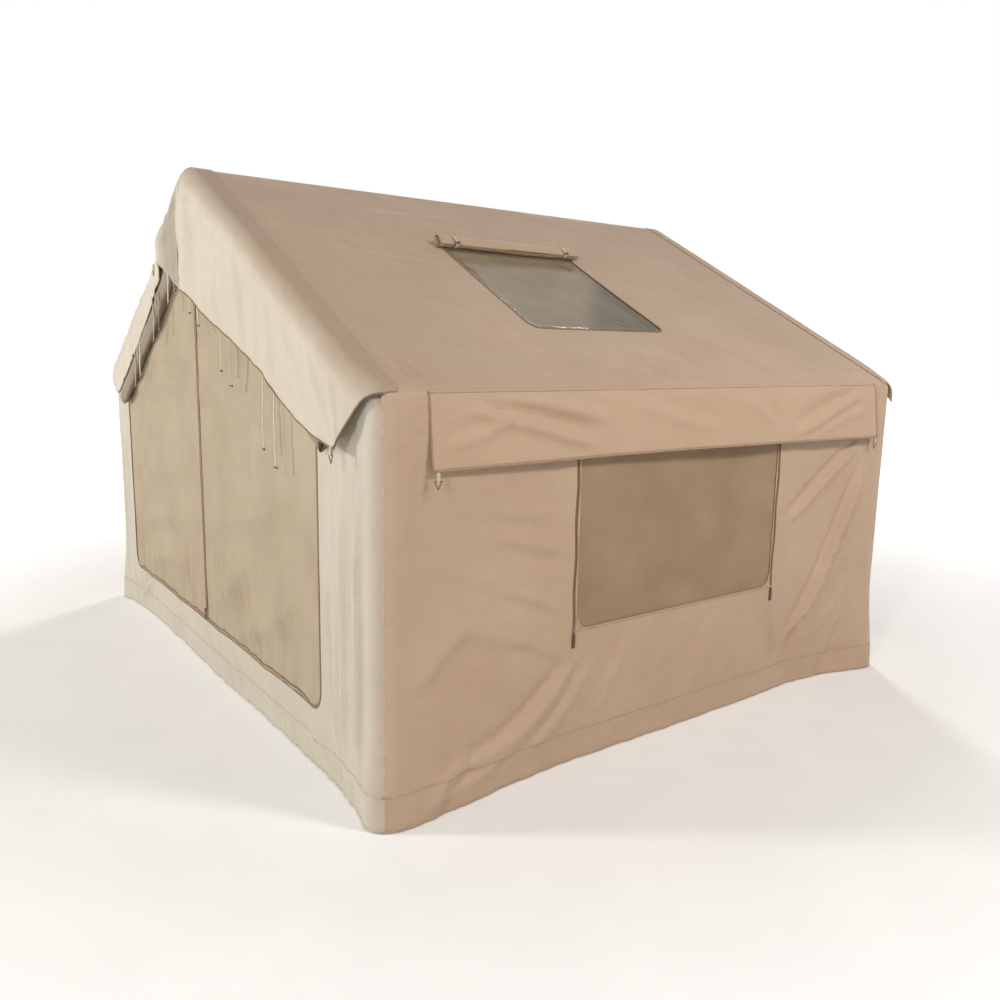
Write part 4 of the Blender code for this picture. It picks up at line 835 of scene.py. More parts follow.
# ---------------------------------------------------------------- valances and rear verge
def over_edge(x, w, side, out, radius, fall):
    """Cloth over a gable's edge: w runs from its lap on the roof, round the bend and down. fall is its push outward."""
    length = out + LAP
    bend = np.clip((w - length) / radius, 0, math.pi / 2)
    tuck = 0.95 * ease((np.abs(x) - HALF_X + 0.20) / 0.20) ** 1.3 * (out - 0.004)
    if side < 0:
        tuck = np.maximum(tuck, 0.045 * ease((-x - 0.42) / 0.20))
    hang = np.clip(w - length - radius * math.pi / 2, 0, None)
    y = COL_Y - LAP + np.minimum(w, length) + radius * np.sin(bend) - tuck * np.clip(w / length, 0, 1)
    far = x + lean(x) * radius * np.cos(bend)
    z = rake(far) + EDGE_LIFT / COS - radius * (1 - np.cos(bend)) / COS - hang
    turn = PITCH + np.clip(np.abs(far) - BEND_X, 0, None) / (BEND_MIDDLE * COS)
    past = np.abs(far) > BEND_X
    z = z + np.where(past, EAVE_BEAM_Z + BEND_OUTER * np.cos(turn) - rake(far), 0)
    far = np.where(past, np.sign(far) * (EAVE_X + BEND_OUTER * np.sin(turn)), far)
    return np.stack([far, side * (y + fall * np.sin(bend)), z + fall * np.cos(bend) * 0.8], -1)


# A hem's height along a valance: the share of the half width, and the share of the full depth.
HEMS = {
    1: curve_through([(0, 1), (0.17, 0.96), (0.29, 0.88), (0.40, 0.81), (0.57, 0.73), (0.70, 0.71), (0.80, 0.65),
                      (0.875, 0.575), (0.895, 0.535), (0.91, 0.44), (0.93, 0.33), (0.955, 0.19), (0.98, 0.08),
                      (1, 0.01)], 6),
    -1: curve_through([(0, 1), (0.076, 0.82), (0.139, 0.63), (0.194, 0.47), (0.242, 0.33), (0.288, 0.24), (0.34, 0.28),
                       (0.45, 0.35), (0.60, 0.40), (0.80, 0.44), (0.93, 0.44), (0.97, 0.34), (1, 0.12)], 6)}
VALANCE_DEPTH, VALANCE_OUT, VALANCE_R = 0.55, 0.054, 0.0666
VALANCE_FOLDS = {
    1: [(0.62, 0.16, 0.70, 0.34, 0.72, 0.58, 0.040, 0.010),
        (0.38, 0.14, 0.42, 0.32, 0.36, 0.60, 0.040, 0.009),
        (0.06, 0.10, 0.10, 0.34, 0.04, 0.66, 0.045, 0.012),
        (0.95, 0.15, 1.00, 0.30, 1.02, 0.52, 0.036, 0.007),
        (0.80, 0.30, 0.86, 0.42, 0.84, 0.55, 0.026, 0.006),
        (1.30, 0.15, 1.42, 0.26, 1.56, 0.40, 0.028, 0.011),
        (1.52, 0.13, 1.56, 0.26, 1.575, 0.40, 0.020, 0.009),
        (1.10, 0.22, 1.30, 0.34, 1.52, 0.43, 0.024, 0.007),
        (0.90, 0.54, 1.2, 0.48, 1.5, 0.44, 0.030, 0.010)],
    -1: [(0.05, 0.10, 0.20, 0.20, 0.44, 0.21, 0.030, 0.008),
         (0.02, 0.30, 0.18, 0.26, 0.42, 0.22, 0.028, 0.007)]}


def valance_end(s, hem):
    """Where the valance's hem is along w, at a share s of the half width."""
    depth = VALANCE_DEPTH * np.interp(s, *hem.T)
    arc = np.arccos(np.clip(1 - depth * COS / VALANCE_R, 0, 1))
    return VALANCE_OUT + LAP + VALANCE_R * arc + np.clip(depth - VALANCE_R / COS, 0, None)


def valance_fall(x, w, sign):
    """The valance's folds: hanging drapes, and the pull towards its hook."""
    down = w - VALANCE_OUT - LAP
    a = np.abs(x)
    hang = folds(a, w, VALANCE_FOLDS[sign])
    if sign < 0:
        pleats = 0.006 * soft_noise(a, w, 0.06, 0.5, 190) * ease(down / 0.20)
        pleats = pleats + 0.006 * soft_noise(a, w, 0.03, 0.22, 191)
        pull = 0.010 * rucks(a, w, 0.05, 192, 0.9, 3.0) - 0.010 * ease(down / 0.25)
        hang = hang + ease((a - 0.50) / 0.10) * (pleats + pull)
    apex = 0.024 * np.exp(-(a / (0.06 if sign < 0 else 0.10)) ** 1.2) * ease(down / 0.30)
    broad = 0.006 * cloth_noise(x, w, 0.20, 181 + sign) + 0.004 * soft_noise(x, w, 0.07, 0.4, 183 + sign) + apex
    fine = 0.0026 * rucks(x, w, 0.04, 185 + sign, 0.9) + 0.0020 * rucks(x, w, 0.03, 187 + sign, 1.4, 4.0)
    bumps = 0.0025 * rucks(x, w, 0.045, 189 + sign, 1.45, 2.5) * band(down, 0.0, 0.09, 0.05)
    soft = ease(down / 0.16) * (1.15 * hang + broad) + ease(down / 0.05) * fine
    return np.maximum(soft, -0.003) + 1.6 * bumps


def valance_place(x, w, sign):
    """A valance's place, with its folds tapered off at the apex and at the eave."""
    a = np.abs(x)
    taper = ease((HALF_X - a) / 0.05) * ease((a + 0.01) / 0.01)
    return over_edge(x, w, -1, VALANCE_OUT, VALANCE_R, valance_fall(x, w, sign) * taper + 0.001)


# Stations along a valance, closer where its hem turns up at the hook, and down it.
s = np.sort(np.concatenate([np.linspace(0, 1, 151), [0.885, 0.905, 0.915, 0.935, 0.945, 0.965, 0.975, 0.985]]))
t = np.linspace(0, 1, 62)
for sign, word in SIDES:
    ends = valance_end(s, HEMS[sign])
    W = ends[:, None] * t[None, :]
    X = np.broadcast_to((sign * s * HALF_X)[:, None], W.shape).ravel()
    W = W.ravel()
    part = valance_place(X, W, sign), block_grid(len(s), len(t)), np.stack([X / COS, W], -1)
    valance = piece("valance_cloth_" + word, [part], VALANCE if sign > 0 else VALANCE_LEFT_PAINTED_LIGHT,
                    "valance_" + word, thick=0.0018)
    hem_line = curve_through(valance_place(sign * s * HALF_X, ends, sign), 2)
    edge = piece("valance_hem_" + word, [sweep(hem_line, (0, -1, 0), round_section(0.0042, 10, 0.8))],
                 BIND_DARK if sign > 0 else BIND_FRONT)
    near = valance_place(sign * s[2:-1] * HALF_X, np.full(len(s) - 3, 0.004), sign)
    seam = piece("valance_seam_" + word, [strip(near + (0, 0, 0.0008), (SIN * sign, 0, COS), 0.009, 0.0010)], SEAM)

VERGE_OUT, VERGE_R = 0.040, 0.066
w_end = VERGE_OUT + LAP + VERGE_R * math.pi / 2 + 0.018
s, t = np.linspace(0, 1, 131), np.linspace(0, 1, 17)
verge_parts = []
for sign in (1, -1):
    W = np.tile(w_end * t, len(s))
    X = np.repeat(sign * s * HALF_X, len(t))
    fall = (0.003 * cloth_noise(X, W, 0.12, 201) + 0.002 * rucks(X, W, 0.04, 202, 1.2)) * ease((W - 0.06) / 0.05)
    verge_parts.append((over_edge(X, W, 1, VERGE_OUT, VERGE_R, fall), block_grid(len(s), len(t)),
                        np.stack([X / COS, W], -1)))
verge = piece("rear_verge_cloth", verge_parts, ROOF, "rear_verge", thick=0.0018)
verge_line = over_edge(np.linspace(-HALF_X, HALF_X, 160), np.full(160, w_end), 1, VERGE_OUT, VERGE_R, 0.0)
verge_edge = piece("rear_verge_binding", [sweep(verge_line, (0, 1, 0), round_section(0.004, 10, 0.8))], BIND)

# ---------------------------------------------------------------- eave flaps
FLAP = (-1.30, 1.33, 0.27)  # its ends along y, and its drop
FLAP_FOLDS = {
    1: [(-1.18, 0.06, -0.86, 0.14, -0.52, 0.235, 0.026, 0.010),
        (-1.10, 0.02, -0.80, 0.06, -0.45, 0.13, 0.030, 0.006),
        (-1.26, 0.20, -1.10, 0.16, -0.95, 0.10, 0.022, 0.006),
        (0.62, 0.245, 0.92, 0.15, 1.24, 0.04, 0.026, 0.011),
        (0.80, 0.25, 1.05, 0.17, 1.28, 0.12, 0.022, 0.006),
        (-0.40, 0.05, -0.10, 0.14, 0.20, 0.20, 0.030, 0.004),
        (0.25, 0.04, 0.42, 0.12, 0.50, 0.22, 0.030, 0.005)],
    -1: [(-1.2, 0.06, -0.8, 0.16, -0.4, 0.24, 0.028, 0.010),
         (0.4, 0.24, 0.8, 0.14, 1.2, 0.06, 0.028, 0.010),
         (-0.3, 0.06, 0.0, 0.16, 0.3, 0.22, 0.032, 0.006)]}


def flap_place(y, w, side):
    """An eave flap: y along the eave and w down from its seam."""
    share = w / FLAP[2]
    ripple = 0.7 * np.sin(2.3 * y + 0.35) + 0.3 * np.sin(6.1 * y - 0.5 + 0.16)
    base = np.clip(share, 0, 1) * (0.030 + 0.012 * ripple) + 0.0035
    tuck = -0.009 * (1 - ease(w / 0.045))
    soft = (2.8 * folds(y, w, FLAP_FOLDS[side]) + 0.006 * cloth_noise(y, w, 0.22, 211 + side, 0.0, 1.6)
            + 0.0026 * rucks(y, w, 0.04, 213 + side, 0.5)) * ease(w / 0.05)
    edge = ease((FLAP[1] - y) / 0.05) * 0.6 + 0.4
    sag = 0.012 * np.sin(math.pi * np.clip((y - FLAP[0]) / (FLAP[1] - FLAP[0]), 0, 1))
    z = EAVE_Z - w + sag * np.clip(share, 0, 1) ** 2
    return np.stack([side * (HALF_X + base + tuck + soft * edge), y, z], -1)


FLAP_LENGTH, FLAP_DROP = FLAP[1] - FLAP[0], FLAP[2]
ys, ws = np.linspace(*FLAP[:2], 120), np.linspace(0.004, FLAP_DROP, 20)
for side, word in SIDES:
    body, out = "eave_flap_" + word + "_body", (side, 0, 0)
    part = spread(flap_place, box_ring(*FLAP[:2], 0, FLAP_DROP), side, 0.0125)
    flap = piece("eave_flap_cloth_" + word, [part], FLAP_CLOTH, "eave_flap_" + word, body, 0.0016)
    rims = [sweep(flap_place(ys, np.full(120, FLAP_DROP), side), out, round_section(0.0042, 10))]
    rims += [sweep(flap_place(np.full(20, y), ws, side), out, round_section(0.0032, 10)) for y in FLAP[:2]]
    piping = piece("eave_flap_piping_" + word, rims, BIND, body=body)
    top = strip(flap_place(ys, np.full(120, 0.006), side), (side * 0.8, 0, 0.6), 0.010, 0.0014)
    seam = piece("eave_flap_seam_" + word, [top], SEAM, body=body)


# ---------------------------------------------------------------- side windows and their zips
net_ring = rounded(*shrunk(WINDOW), WINDOW_ROUND)
points, faces = flat_grid(net_ring, CELL)
y, z = points.T
sill = np.array([p for p in net_ring if p[1] < WINDOW[2] + 0.062])
sill = curve_through(sill[np.argsort(np.arctan2(sill[:, 0] + 0.02, 0.95 - sill[:, 1]))], 6)
zs, coil_z = np.linspace(0.50, 1.33, 70), np.linspace(0.503, 1.328, 825)
phase = np.arange(825) * math.pi / 2
for side, word in SIDES:
    out = (side, 0, 0)
    place = side_place(y, z, side)
    belly = -0.006 + 0.004 * cloth_noise(y, z, 0.30, 221 + side) \
        + fold(y, z, [(-0.55, 0.62), (-0.2, 0.75), (0.3, 0.9)], 0.05, 0.004)
    place[:, 0] += side * (inset(y, z, WINDOW, 0.10) * belly - 0.003)
    net = piece("window_net_" + word, [(place, faces, points)], WINDOW_MESH, "window_mesh_" + word)
    path = side_place(sill[:, 0], sill[:, 1], side) + (side * 0.0008, 0, 0)
    hem = piece("window_sill_binding_" + word, [strip(path, out, 0.010, 0.0016)], SEAM)
    for end, at in ZIP_Y.items():
        wander = 0.0025 * np.sin(zs * 23 + side + at) * band(zs, 0.55, 1.28, 0.05)
        path = side_place(at + wander, zs, side)
        path[:, 0] = side * np.clip(side * path[:, 0], HALF_X - 0.0015, HALF_X + 0.0003)
        tape = strip(path + (side * 0.0006, 0, 0), out, 0.014, 0.0014)
        coil = np.stack([np.interp(coil_z, zs, path[:, 0]) + side * (0.0026 + 0.0008 * np.sin(phase)),
                         at + np.interp(coil_z, zs, wander) + 0.0016 * np.cos(phase), coil_z], -1)
        piece("window_zip_tape_" + word + "_" + end, [tape, sweep(coil, out, round_section(0.0007, 5))],
                          ZIP, "window_zip_" + word + "_" + end)


# ---------------------------------------------------------------- rolled curtains and roof window cover
def spiral(wide, high, turns, count):
    """The section of a rolled sheet: a spiral of cloth squashed to wide by high."""
    t = np.linspace(0, 1, count)
    angle = 2.4 + t * turns * 2 * math.pi
    size = 0.30 + 0.70 * t ** 0.8
    lump = 1 + 0.05 * np.sin(angle * 3 + 0.7) + 0.03 * np.sin(angle * 5)
    return np.stack([wide / 2 * size * np.cos(angle) * lump, high / 2 * size * np.sin(angle) * lump], -1)


def rolled(name, path, up, wide, high, material, seed, node, pinches, turns):
    """A cloth wound into a roll and squeezed where ties hold it, with its length and its unrolled width."""
    base = spiral(wide, high, turns, 120)
    length, loop = run_length(path), run_length(base)
    u = np.broadcast_to(length[:, None], (len(path), 120))
    v = np.broadcast_to(loop[None, :], u.shape)
    squeeze = 1 - sum(0.09 * np.exp(-((length / length[-1] - at) / 0.018) ** 2) for at in pinches)
    wave = 0.94 + 0.09 * cloth_noise(u, v, 0.10, seed) + 0.07 * soft_noise(u, v, 0.24, 0.03, seed + 1) \
        + 0.08 * rucks(u, v, 0.03, seed + 2, 0.3)
    limit = np.array([wide / 2, high / 2])
    section = np.clip(base[None] * (squeeze[:, None] * wave)[..., None], -limit, limit)
    points, faces, _ = sweep(path, up, section, closed=False)
    roll = piece(name, [(points, faces, np.stack([u.ravel(), v.ravel()], -1))], material, node, thick=0.0014)
    return roll, float(length[-1]), float(loop[-1])


CURTAIN_X, CURTAIN_DROP, CURTAIN_Y = (0.02, 1.42), (0.25, 0.37), -1.5253  # a roll's two ends


def curtain_path(sign, along):
    """The curtain roll's axis at a share of its length, sagging between its ties."""
    x = np.interp(along, (0, 1), CURTAIN_X)
    drop = np.interp(along, (0, 1), CURTAIN_DROP) + 0.008 * np.abs(np.sin(3 * math.pi * along))
    return np.stack([sign * x, np.full(len(x), CURTAIN_Y), RIDGE_Z - SLOPE * x - drop], -1)


def toggle_bar(middle, along, radius, length):
    """A small turned toggle, waisted where the tape holds it."""
    t = np.linspace(-1, 1, 17)
    path = np.asarray(middle) + np.outer(t * length / 2, along)
    scale = np.sqrt(np.clip(1 - np.abs(t) ** 6, 0.02, 1)) * (0.82 + 0.18 * np.abs(t) ** 2)
    return sweep(path, (0, -1, 0.02), round_section(radius, 12), scale=scale)


ROLL_TIES = {"right": (0.055, 0.35, 0.685), "left": (0.16, 0.37, 0.67)}
around = round_section(1.0, 36)
t = np.linspace(0, 1, 26)
for sign, word in SIDES:
    axis = curtain_path(sign, np.linspace(0, 1, 110))
    roll, long, wound = rolled("curtain_cloth_" + word, axis, (0, -1, 0), 0.098, 0.048, CANVAS_PAINTED_SHADE, 231 + sign,
                               "curtain_roll_" + word, ROLL_TIES[word], 3.3)
    for level, at in zip(("upper", "middle", "lower"), ROLL_TIES[word]):
        name = word + "_" + level
        low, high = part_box("curtain_tie_" + name)
        tail_xs = (low[0] + 0.016, high[0] - 0.016)
        tapes, toggles = [], []
        for k, x in enumerate(tail_xs):
            outer = abs(x) == max(np.abs(tail_xs))
            tail = low[2] + 0.010 + (0 if outer else SLOPE * 0.11)
            start = curtain_path(sign, np.interp([abs(x)], CURTAIN_X, (0, 1)))[0]
            swing = 0.004 * np.sin(t * 4.5 + k * 2 + sign) * t
            out = -1.5503 - 0.002 * t + 0.0015 * np.sin(t * 6 + k)
            path = np.stack([x + swing, out, np.linspace(start[2] + 0.02, tail, 26)], -1)
            tapes.append(strip(path, (0.25 * math.sin(k * 2 + at * 9), -1, 0), 0.0095, 0.0012))
            toggles.append(toggle_bar((x + swing[-1], out[-1] - 0.001, tail), (1, 0.1 * (k - 0.5), 0.06 * (0.5 - k)),
                                      0.0052, 0.030))
        piece("curtain_tape_" + name, tapes, WEB, "curtain_tie_" + name)
        piece("curtain_toggles_" + name, toggles, TOGGLE)
        ring = np.stack([0 * around[:, 0], 0.0262 * around[:, 0], 0.049 * around[:, 1]], -1)
        path = curtain_path(sign, np.array([at]))[0] + ring
        piece("curtain_band_" + name, [strip(np.vstack([path, path[:1]]), ring[0], 0.0095, 0.0012)], WEB)


# ---------------------------------------------------------------- roof window
pane_ring = rounded(*shrunk(SKYLIGHT), 0.0, SKYLIGHT_ROUND)
points, faces = flat_grid(pane_ring, 0.012)
y, r = points.T
wave = inset(y, r, SKYLIGHT, 0.06) * (
    -0.008 + 0.005 * cloth_noise(y, r, 0.30, 241) + 0.002 * cloth_noise(y, r, 0.10, 242)
    + folds(y, r, [(0.02, 1.36, 0.10, 1.42, 0.18, 1.48, 0.010, 0.004),
                   (0.05, 1.30, 0.13, 1.38, 0.22, 1.44, 0.008, 0.003)]))
pane = piece("roof_window_film", [(roof_place(y, r, 1, wave - 0.002), faces, points)], FILM,
             "skylight_pane")
dense = dense_line(np.array(pane_ring + pane_ring[:1]), lambda length: 14 if length > 0.05 else 1)
edge = piece("roof_window_binding", [strip(roof_place(*dense.T, 1, 0.0006), (SIN, 0, COS), 0.011, 0.0018)], ZIP)
COVER_AT, COVER_LIFT = 0.675, 0.030  # the rolled cover's axis: down the slope, and off it
roll_low, roll_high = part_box("skylight_cover_roll")
roll_y = np.linspace(roll_low[1] + 0.002, roll_high[1] - 0.002, 90)
axis = roof_place(roll_y, np.full(90, COVER_AT), 1, COVER_LIFT)
cover, long, wound = rolled("roof_window_cover", axis, (SIN, 0, COS), 0.088, 0.052, ROOF, 251,
                            "skylight_cover_roll", (0.11, 0.89), 2.6)
across, up = np.array([COS, 0, -SIN]), np.array([SIN, 0, COS])
around = round_section(1.0, 40)
TIE_SECTION = [(0, -0.010), (0.0012, -0.009), (0.0014, 0.009), (0, 0.010), (-0.0012, 0)]
for end in ("front", "rear"):
    low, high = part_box("skylight_tie_" + end)
    middle = roof_place(np.array([(low[1] + high[1]) / 2]), np.array([COVER_AT]), 1, COVER_LIFT)[0]
    ring = middle + np.outer(around[:, 0] * 0.0395, across) + np.outer(around[:, 1] * 0.0232, up)
    piece("cover_tie_band_" + end, [sweep(np.vstack([ring, ring[:1]]), (0, 1, 0), TIE_SECTION, caps=False)], LOOP,
          "skylight_tie_" + end)
    piece("cover_tie_toggle_" + end, [toggle_bar(middle + up * 0.016 + across * 0.040, (0, 1, 0), 0.005, 0.026)],
          TOGGLE)

# ---------------------------------------------------------------- mesh door
DOOR_FOLDS = {
    "left": [(-1.30, 1.33, -0.8, 1.42, -0.2, 1.46, 0.05, 0.007),
             (-1.36, 1.02, -0.9, 0.94, -0.2, 1.02, 0.06, 0.008),
             (-1.36, 0.55, -0.9, 0.66, -0.3, 0.74, 0.06, 0.008),
             (-1.2, 0.32, -0.8, 0.46, -0.3, 0.48, 0.05, 0.006)],
    "right": [(0.0, 0.80, 0.55, 0.90, 1.14, 1.08, 0.06, 0.008),
              (0.0, 0.36, 0.3, 0.52, 0.6, 0.72, 0.06, 0.007),
              (0.28, 0.30, 0.7, 0.44, 1.15, 0.68, 0.05, 0.007),
              (0.1, 1.5, 0.5, 1.4, 1.0, 1.38, 0.06, 0.006)]}


def door_place(x, z, word):
    """A door leaf's place: its belly, its sags and the gathers above its sill."""
    in_left, in_right = x - DOOR_LEFT, DOOR_RIGHT - x
    off_seam = np.abs(x - DOOR_SEAM)
    edge = ease(in_left / 0.08) * ease(in_right / 0.08) * ease((z - SILL_Z) / 0.10) \
        * ease((rake(x) - HEAD_DROP - z) / 0.10) * ease(off_seam / 0.10 + 0.15)
    belly = 0.004 * cloth_noise(x, z, 0.35, 261) + 0.002 * cloth_noise(x, z, 0.12, 262, 0.2, 2.0)
    gathers = (0.0055 * soft_noise(x, z, 0.030, 0.34, 263) + 0.0030 * soft_noise(x, z, 0.014, 0.20, 264)) \
        * ease((0.92 - z) / 0.55) * ease(in_left / 0.03) * ease(in_right / 0.03) * ease((z - SILL_Z) / 0.03) \
        * ease(off_seam / 0.03)
    sags = 0.0060 * soft_noise(x, z, 0.45, 0.055, 265) * ease((z - 1.15) / 0.25)
    push = edge * (belly + sags + 2.2 * folds(x, z, DOOR_FOLDS[word]) - 0.004) + gathers
    return np.stack([x, -1.4985 - np.clip(push, -0.014, 0.024), z], -1)


def scallop(x, depth, power):
    """The waved foot of the door, level towards its corners."""
    return depth * np.abs(np.sin((x - 0.1) * 5.2)) ** power


def level_part(x):
    """1 where the sill is waved, 0 at the door's rounded corners."""
    return band(x, DOOR_LEFT + 0.16, DOOR_RIGHT - 0.16, 0.10)


OUT = (0, -1, 0)
zs, coil_z = np.linspace(0.279, 2.13, 140), np.linspace(0.281, 2.128, 1900)
phase = np.arange(1900) * math.pi / 2
for word, toward, x0, x1 in (("left", -1, DOOR_LEFT, DOOR_SEAM - 0.0006), ("right", 1, DOOR_SEAM + 0.0006, DOOR_RIGHT)):
    body = "door_leaf_" + word + "_body"
    xs = np.linspace(x0, x1, 24)
    tops = rake(xs) - HEAD_DROP - 0.002
    if word == "left":
        foot = door_foot(x0, 1, 0.001) + [(x1, SILL_Z + 0.001)]
    else:
        foot = [(x0, SILL_Z + 0.001)] + door_foot(x1, -1, 0.001)[::-1]
    ring = foot + list(zip(xs, tops))[::-1]
    leaf = piece("door_net_" + word, [spread(door_place, ring, word)],
                 DOOR_MESH, "door_leaf_" + word, body)
    tape = np.stack([np.full(140, DOOR_SEAM + toward * 0.0068), np.full(140, -1.5006), zs], -1)
    coil_x = DOOR_SEAM + toward * 0.0016 + 0.0010 * np.cos(phase)
    coil = np.stack([coil_x, -1.5024 - 0.0006 * np.sin(phase), coil_z], -1)
    teeth = sweep(coil, OUT, round_section(0.0006, 5))
    zipper = piece("door_zip_tape_" + word, [strip(tape, OUT, 0.0130, 0.0013), teeth],
                   ZIP_DOOR, "door_zip_" + word, body)
    sill_x = np.linspace(x0 + 0.002, x1 - 0.002, 90)
    waved = (scallop(sill_x, 0.013, 0.6) + 0.005 * np.abs(np.sin(sill_x * 23.0))) * level_part(sill_x)
    near = np.clip((DOOR_ROUND - np.minimum(sill_x - DOOR_LEFT, DOOR_RIGHT - sill_x)) / DOOR_ROUND, 0, 0.999)
    climb = DOOR_ROUND * (1 - np.sqrt(1 - near ** 2))
    sill = door_place(sill_x, SILL_Z + 0.008 + waved + climb, word) + (0, -0.0012, 0)
    jamb_x = x0 + 0.006 if word == "left" else x1 - 0.006
    jamb_z = np.linspace(SILL_Z + DOOR_ROUND * 0.7, rake(jamb_x) - HEAD_DROP - 0.01, 60)
    jamb = door_place(np.full(60, jamb_x), jamb_z, word) + (0, -0.0010, 0)
    hem = piece("door_hem_" + word, [strip(sill, OUT, 0.009, 0.0018)], BIND_DARK, body=body)
    side_tape = piece("door_edge_" + word, [strip(jamb, OUT, 0.008, 0.0014)], BIND_DARK, body=body)
    area_of(ring)


# ---------------------------------------------------------------- seams on the shell
def normals_from(place, u, v, side):
    """The outward normal of a wall, by small steps along and up it."""
    du = place(u + 0.002, v, side) - place(u - 0.002, v, side)
    dv = place(u, v + 0.002, side) - place(u, v - 0.002, side)
    n = np.cross(du, dv)
    n /= np.linalg.norm(n, axis=1)[:, None]
    out = place(u, v, side) * (1, 1, 0)
    return n * np.sign((n * out).sum(1))[:, None]


def seam_on(place, u, v, side, width, height):
    """A strip that lies on a wall along a line of its u and v."""
    return strip(place(u, v, side), normals_from(place, u, v, side), width, height)


def skirt_seam(word, place, side, end, count, height, paint):
    """The stitched top of the skirt and the roll of its foot."""
    us = np.linspace(-end, end, count)
    foot = sweep(place(us, np.full(count, 0.006), side), (0, 0, 1), round_section(0.0035, 8))
    top = seam_on(place, us, np.full(count, SKIRT_Z), side, 0.009, height)
    return piece("skirt_seam_" + word, [top, foot], paint)


extras = {}
zs = np.linspace(0.006, WALL_TOP - 0.01, 150)
for side, word in SIDES:
    corners = [seam_on(side_place, np.full(150, end * (SIDE_END - 0.002)), zs, side, 0.007, 0.0008) for end in (-1, 1)]
    extras[word] = [piece("corner_seams_" + word, corners, CORNER_SEAM),
                    skirt_seam(word, side_place, side, SIDE_END, 230, 0.0012, SEAM)]
for side, word, paint in ((-1, "front", BIND_FRONT), (1, "rear", SEAM)):
    extras[word] = [skirt_seam(word, gable_place, side, GABLE_END, 260, 0.0022, paint)]
dense = dense_line(np.array([door_hole[-1]] + door_hole[:-2]), lambda length: max(2, int(length / 0.02)))
low = dense[:, 1] < SILL_Z + 0.02
dense[:, 1] += level_part(dense[:, 0]) * low * (scallop(dense[:, 0], 0.012, 0.7) - 0.003)
path = gable_place(*dense.T, -1) + (0, -0.0005, 0)
extras["front"].append(piece("door_frame_binding", [strip(path, OUT, 0.008, 0.0016)], BIND_DARK))

for side, word in SIDES:
    area_of(side_outline, [window_hole])
tall = max(p[1] for p in gable_outline) - SKIRT_Z
max(area_of(gable_outline, [door_hole]), 0.301 * 2 * GABLE_END * tall)
area_of(gable_outline)
for side, word in SIDES:
    area_of(roof_outline, roof_holes[word])
area_of(floor_ring)


# ---------------------------------------------------------------- air beams
BEAM_R, RIDGE_BEAM_R, EAVE_BEAM_R, BEND_R = 0.0585, 0.0545, 0.0490, 0.12
RIDGE_BEAM_Z, BEAM_END = 2.3816, 1.374  # the ridge beam's axis, and where it and the eave beams stop


def arch_path(y):
    """Up one column, round the bends and over the ridge."""
    corner_z = RIDGE_Z - SLOPE * COL_X - COL_R / COS
    top = corner_z + COL_X * SLOPE
    b = np.array([COL_X, corner_z])
    a, c = b - (0, BEND_R * 0.6), b + BEND_R * 0.6 * np.array([-COS, SIN])
    points = [(COL_X, 0.062)] + [(COL_X, z) for z in np.linspace(0.08, a[1], 34)]
    points += [(1 - k) ** 2 * a + 2 * k * (1 - k) * b + k * k * c for k in np.linspace(0, 1, 11)[1:]]
    points += [(x, corner_z + (COL_X - x) * SLOPE) for x in np.linspace(c[0], 0.06, 42)[1:]]
    points += [(x, top - SLOPE * math.sqrt(x * x + 0.0009)) for x in (0.045, 0.03, 0.015, 0.0)]
    half = np.array([tuple(p) for p in points])
    whole = np.vstack([half, half[::-1][1:] * (-1, 1)])
    return np.column_stack([whole[:, 0], np.full(len(whole), y), whole[:, 1]])


def beam(name, path, radius, up, node, seed, creases=()):
    """An inflated tube with closed ends, wrinkled where it bends."""
    length, count = run_length(path), 36
    u = np.broadcast_to(length[:, None], (len(path), count))
    v = np.broadcast_to(np.linspace(0, 2 * math.pi, count, endpoint=False)[None], u.shape)
    size = radius * (1 + 0.008 * soft_noise(u, v, 0.25, 1.0, seed))
    for at in creases:
        size = size * (1 - 0.035 * np.exp(-((u - at) / 0.05) ** 2) * (0.5 + 0.5 * np.cos((u - at) * 260)))
    ends = np.minimum(length, length[-1] - length)
    size = size * np.sqrt(np.clip(1 - np.square(np.clip(1 - ends / 0.05, 0, 1)) * 0.85, 0.02, 1))[:, None]
    points, faces, _ = sweep(path, up, round_section(1.0, count)[None] * size[..., None])
    flat = np.stack([u.ravel(), (v * radius).ravel()], -1)
    piece(name, [(points, faces, flat)], BEAM, node)


BENDS_AT = 1.40  # how far up an arch its bend is
for y, word in ((-COL_Y, "front"), (COL_Y, "rear")):
    path = arch_path(y)
    total = run_length(path)[-1]
    bends = (BENDS_AT, total / 2, total - BENDS_AT)
    beam("arch_tube_" + word, path, BEAM_R, (0, 1, 0), word + "_arch_beam", 271, bends)
ys = np.linspace(-BEAM_END, BEAM_END, 60)
path = np.column_stack([0 * ys, ys, 0 * ys + RIDGE_BEAM_Z])
beam("ridge_tube", path, RIDGE_BEAM_R, (0, 0, 1), "ridge_beam", 272)
for side, word in SIDES:
    path = np.column_stack([0 * ys + side * EAVE_X, ys, 0 * ys + EAVE_BEAM_Z])
    beam("eave_tube_" + word, path, EAVE_BEAM_R, (0, 0, 1), "eave_beam_" + word, 273)

